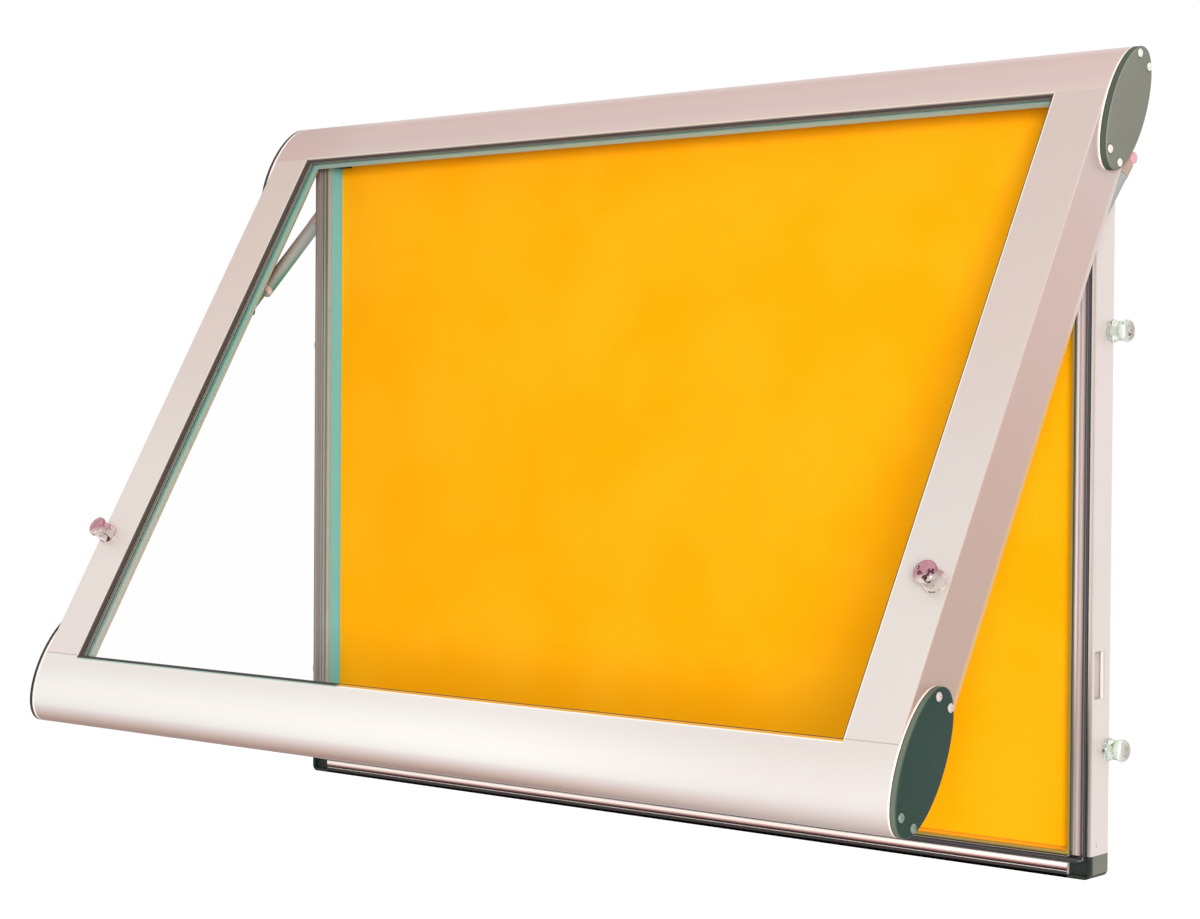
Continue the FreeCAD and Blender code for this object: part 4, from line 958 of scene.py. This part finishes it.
def domed_screws():
    """Heads as domes whose height falls with the square of the radius, with a cross sunk in.

    The cross is the nearer of two slots: a point is sunk where it lies within half a slot's
    width of either middle line and within the slot's reach."""
    turn = np.linspace(0, 2 * math.pi, 72, endpoint=False)
    radius = SCREW_HEAD * np.array([0, 0.08, 0.16, 0.24, 0.32, 0.4, 0.48, 0.56, 0.65, 0.75, 0.85,
                                    0.93, 1, 1])
    edge_height, half_slot, slot_reach, slot_depth = 0.6, 0.6, 2.3, 1.0
    a = radius[:, None] * np.cos(turn)
    b = radius[:, None] * np.sin(turn)
    rise = SCREW_DOME - (SCREW_DOME - edge_height) * (radius / SCREW_HEAD) ** 2
    rise[-1] = 0
    near = np.minimum(np.abs(a), np.abs(b))
    sunk = (np.clip((half_slot - near) / 0.25, 0, 1)
            * np.clip((slot_reach - radius[:, None]) / 0.3, 0, 1))
    height = rise[:, None] - slot_depth * sunk
    points, faces = [], []
    for side in (-1, 1):
        for edge in CAP_HEIGHTS.values():
            for above in (-1, 1):
                for beside in (-1, 1):
                    start = len(points) * radius.size * turn.size
                    points.append(on_door(side * (DOOR_HALF + CAP_THICKNESS + height),
                                          RAIL_HALF_DEPTH + beside * SCREW_BESIDE + a,
                                          edge + above * SCREW_UP + b))
                    faces += (closed_sheet(radius.size, turn.size) + start).tolist()
                    last = start + (radius.size - 1) * turn.size
                    faces.append(list(range(last, last + turn.size)))
    piece("cap_screw_heads", np.stack(points), faces, screw_metal(), "door", "steel",
          "end_cap_screws")


def screw_metal():
    """Plated screws, painted bright at the top of the door and darker and greener towards its
    lower edge as painted light.
    """
    finish = Finish("screw_metal", metallic=0.3, specular_ior_level=0.4)
    up = door_place(finish)[2]
    worn = finish.grain(900, 3)
    bright = ramp(finish, up, -0.70, 0.04, [
        (0, "75857A"), (0.1, "82918A"), (0.13, "D2BFBB"), (0.8, "F0E0DB"), (0.9, "EEE9DF"),
        (1, "E3EEE0")])
    finish.set(base_color=finish.mix(finish.step(worn, 0.5, 0.7) * 0.5, bright, tone("A89C98")),
               roughness=worn * 0.15 + 0.25)
    return finish.relief(worn, 0.00003, 0.2)


domed_screws()

# Turn locks
# Each lock has a clear moulded spool on a steel spindle, in a zinc-plated barrel through the
# stile, with a cam behind. The plastic is tinted pink, and it shows the dark spindle inside.

LOCK_ACROSS = 487.5
LOCK_BELOW_HINGE = 485.3
KNOB_STAND_OFF = 1.3
KNOB_LENGTH = 19.0
KNOB_RADIUS = 10.0


def pink_over_cream(finish):
    """Pink where the knob faces up and to the left, and cream below as painted light, with dark
    rings of painted shade at its waist and near its end.

    Ahead is the distance in front of the stile's face; up and beside are from the knob's axis."""
    x, behind, above_hinge = door_place(finish)
    ahead = -HINGE_BEHIND_FACE * MM - behind
    up = above_hinge + LOCK_BELOW_HINGE * MM
    beside = x - (right_half(finish, x) * 2 - 1) * (LOCK_ACROSS * MM)
    pink = ramp(finish, ahead, KNOB_STAND_OFF * MM, (KNOB_STAND_OFF + KNOB_LENGTH) * MM, [
        (0, "E9BFC0"), (0.12, "F3D5D2"), (0.3, "E2B4B6"), (0.42, "A8506A"), (0.5, "E0B3B8"),
        (0.62, "EBC3C8"), (0.8, "DFA3B1"), (0.93, "B4607C"), (1, "DDA0AE")])
    upper = finish.step(up + ahead * 0.5 - beside * 0.3, 0.001, 0.009)
    return finish.mix(upper, tone("FFF8EC"), pink)


def lock_knob(side_name, finish):
    frames = [(joint(f"{side_name}_lock_turn")["pos_m"], (1, 0, 0), (0, SIN, COS),
               (0, -COS, SIN))]
    outline = spool(KNOB_RADIUS, KNOB_LENGTH, waist=8.4, round_off=2.4, base=KNOB_STAND_OFF)
    points, faces = turned(outline, frames)
    piece(f"{side_name}_clear_lock_knob", points, faces, finish, f"{side_name}_lock",
          "clear_knob", f"{side_name}_lock_knob")


clear_pink = clear_plastic("clear_pink", pink_over_cream, "56182F")
lock_knob("left", clear_pink)
lock_knob("right", clear_pink)
stud_metal("spindle_metal", "4E2234", "8A5A68").paint("left_lock_spindle", "right_lock_spindle")
zinc_plate.paint("lock_barrels", "lock_nuts", "left_lock_cam", "left_lock_cam_nut",
                 "right_lock_cam", "right_lock_cam_nut")

# Gas struts
# A painted tube swings on a stud at the case's side and takes the rod, whose end faces a boss on
# the door's flange. The upper fitting is a tan sleeve with a pink plastic eye.

STRUT_AXIS = np.array(joint("left_strut_slide")["axis"])
STRUT_AXIS = STRUT_AXIS / np.linalg.norm(STRUT_AXIS)
STRUT_PIVOT = np.array(joint("left_strut_swing")["pos_m"])
ACROSS = np.array([1.0, 0, 0])
STRUT_FRONT = np.cross(STRUT_AXIS, ACROSS)
TUBE_RADIUS = 7.5


def strut_paint(name, warm, under, low, high):
    """Paint that is warm in front, with a darker tan strip along its front line, and sea green
    behind as painted shade, on the left strut alone.

    Front is the distance from the strut's line towards its front, in tube radii, and the green
    grows down the strut."""
    finish = Finish(name, metallic=0.1, specular_ior_level=0.25)
    x, y, z = finish.place()
    flecks = finish.grain(300, 2)
    ahead, above = y - STRUT_PIVOT[1], z - STRUT_PIVOT[2]
    front = (ahead * STRUT_FRONT[1] + above * STRUT_FRONT[2]) / (TUBE_RADIUS * MM)
    along = ahead * STRUT_AXIS[1] + above * STRUT_AXIS[2]
    green = (1 - finish.step(front, low, high)) * finish.step(along, 0.02, 0.11)
    colour = finish.mix(green * (1 - right_half(finish, x)), tone(warm), tone(under))
    colour = finish.mix(finish.step(front, 0.75, 0.95) * 0.6, colour, tone("A8958A"))
    finish.set(base_color=finish.mix(flecks * 0.2, colour, tone("A39A90")),
               roughness=flecks * 0.12 + 0.35)
    return finish.relief(flecks, 0.00004, 0.2)


def strut(side_name, tube_finish, ring_finish, sleeve_finish, eye_finish):
    """Turned outlines about the line from the upper pivot to the rod's end."""
    pivot = np.array(joint(f"{side_name}_strut_swing")["pos_m"])
    frames = [(pivot.tolist(), ACROSS.tolist(), STRUT_FRONT.tolist(), STRUT_AXIS.tolist())]
    body = f"{side_name}_strut_tube_body"
    tube = [(0, 22.05), (6.9, 22.05), (TUBE_RADIUS, 22.7), (TUBE_RADIUS, 118.8), (7.1, 119.6),
            (0, 119.6)]
    points, faces = turned(tube, frames, 48)
    piece(f"{side_name}_painted_tube", points, faces, tube_finish, body, "strut_paint",
          f"{side_name}_strut_tube")
    ring = [(3.1, 119.7), (7.1, 119.7), (TUBE_RADIUS, 120.4), (TUBE_RADIUS, 124.6), (6.9, 125.4),
            (3.1, 125.4)]
    points, faces = turned(ring, frames, 48)
    piece(f"{side_name}_end_ring", points, faces, ring_finish, body, "strut_paint",
          f"{side_name}_strut_gland")
    sleeve = [(0, 5.65), (6.6, 5.65), (7.8, 6.6), (7.8, 20.2), (7.2, 20.8), (7.2, 21.6), (0, 22)]
    points, faces = turned(sleeve, frames, 48)
    piece(f"{side_name}_strut_sleeve", points, faces, sleeve_finish, body, "strut_paint")
    eye_frames = [((pivot - ACROSS * 4 * MM).tolist(), STRUT_AXIS.tolist(), STRUT_FRONT.tolist(),
                   ACROSS.tolist())]
    eye = [(3.1, 0), (5.9, 0), (6.4, 0.5), (6.4, 7.5), (5.9, 8), (3.1, 8)]
    points, faces = turned(eye, eye_frames, 48)
    piece(f"{side_name}_strut_eye_ring", points, faces, eye_finish, body, "strut_paint",
          f"{side_name}_strut_eye")


warm_tube = strut_paint("strut_tube_paint", "A6ADA9", "2E9C90", -0.45, 0.6)
pale_ring = strut_paint("strut_ring_paint", "E4DCE0", "6FA89C", -0.9, -0.3)
tan_sleeve = strut_paint("strut_sleeve_paint", "BFA095", "A58C82", -0.9, 0)
pink_eye = moulded("strut_eye_plastic", "E09AA4", "EBB0B6", 0.3)
rod_chrome = strut_paint("strut_rod_chrome", "8FB8AE", "3F968A", -0.3, 0.3)
for side_name in ("left", "right"):
    strut(side_name, warm_tube, pale_ring, tan_sleeve, pink_eye)
rod_chrome.paint("left_strut_rod", "right_strut_rod", "left_strut_piston", "right_strut_piston")
pink_eye.paint("strut_studs")
zinc_plate.paint("strut_anchors")
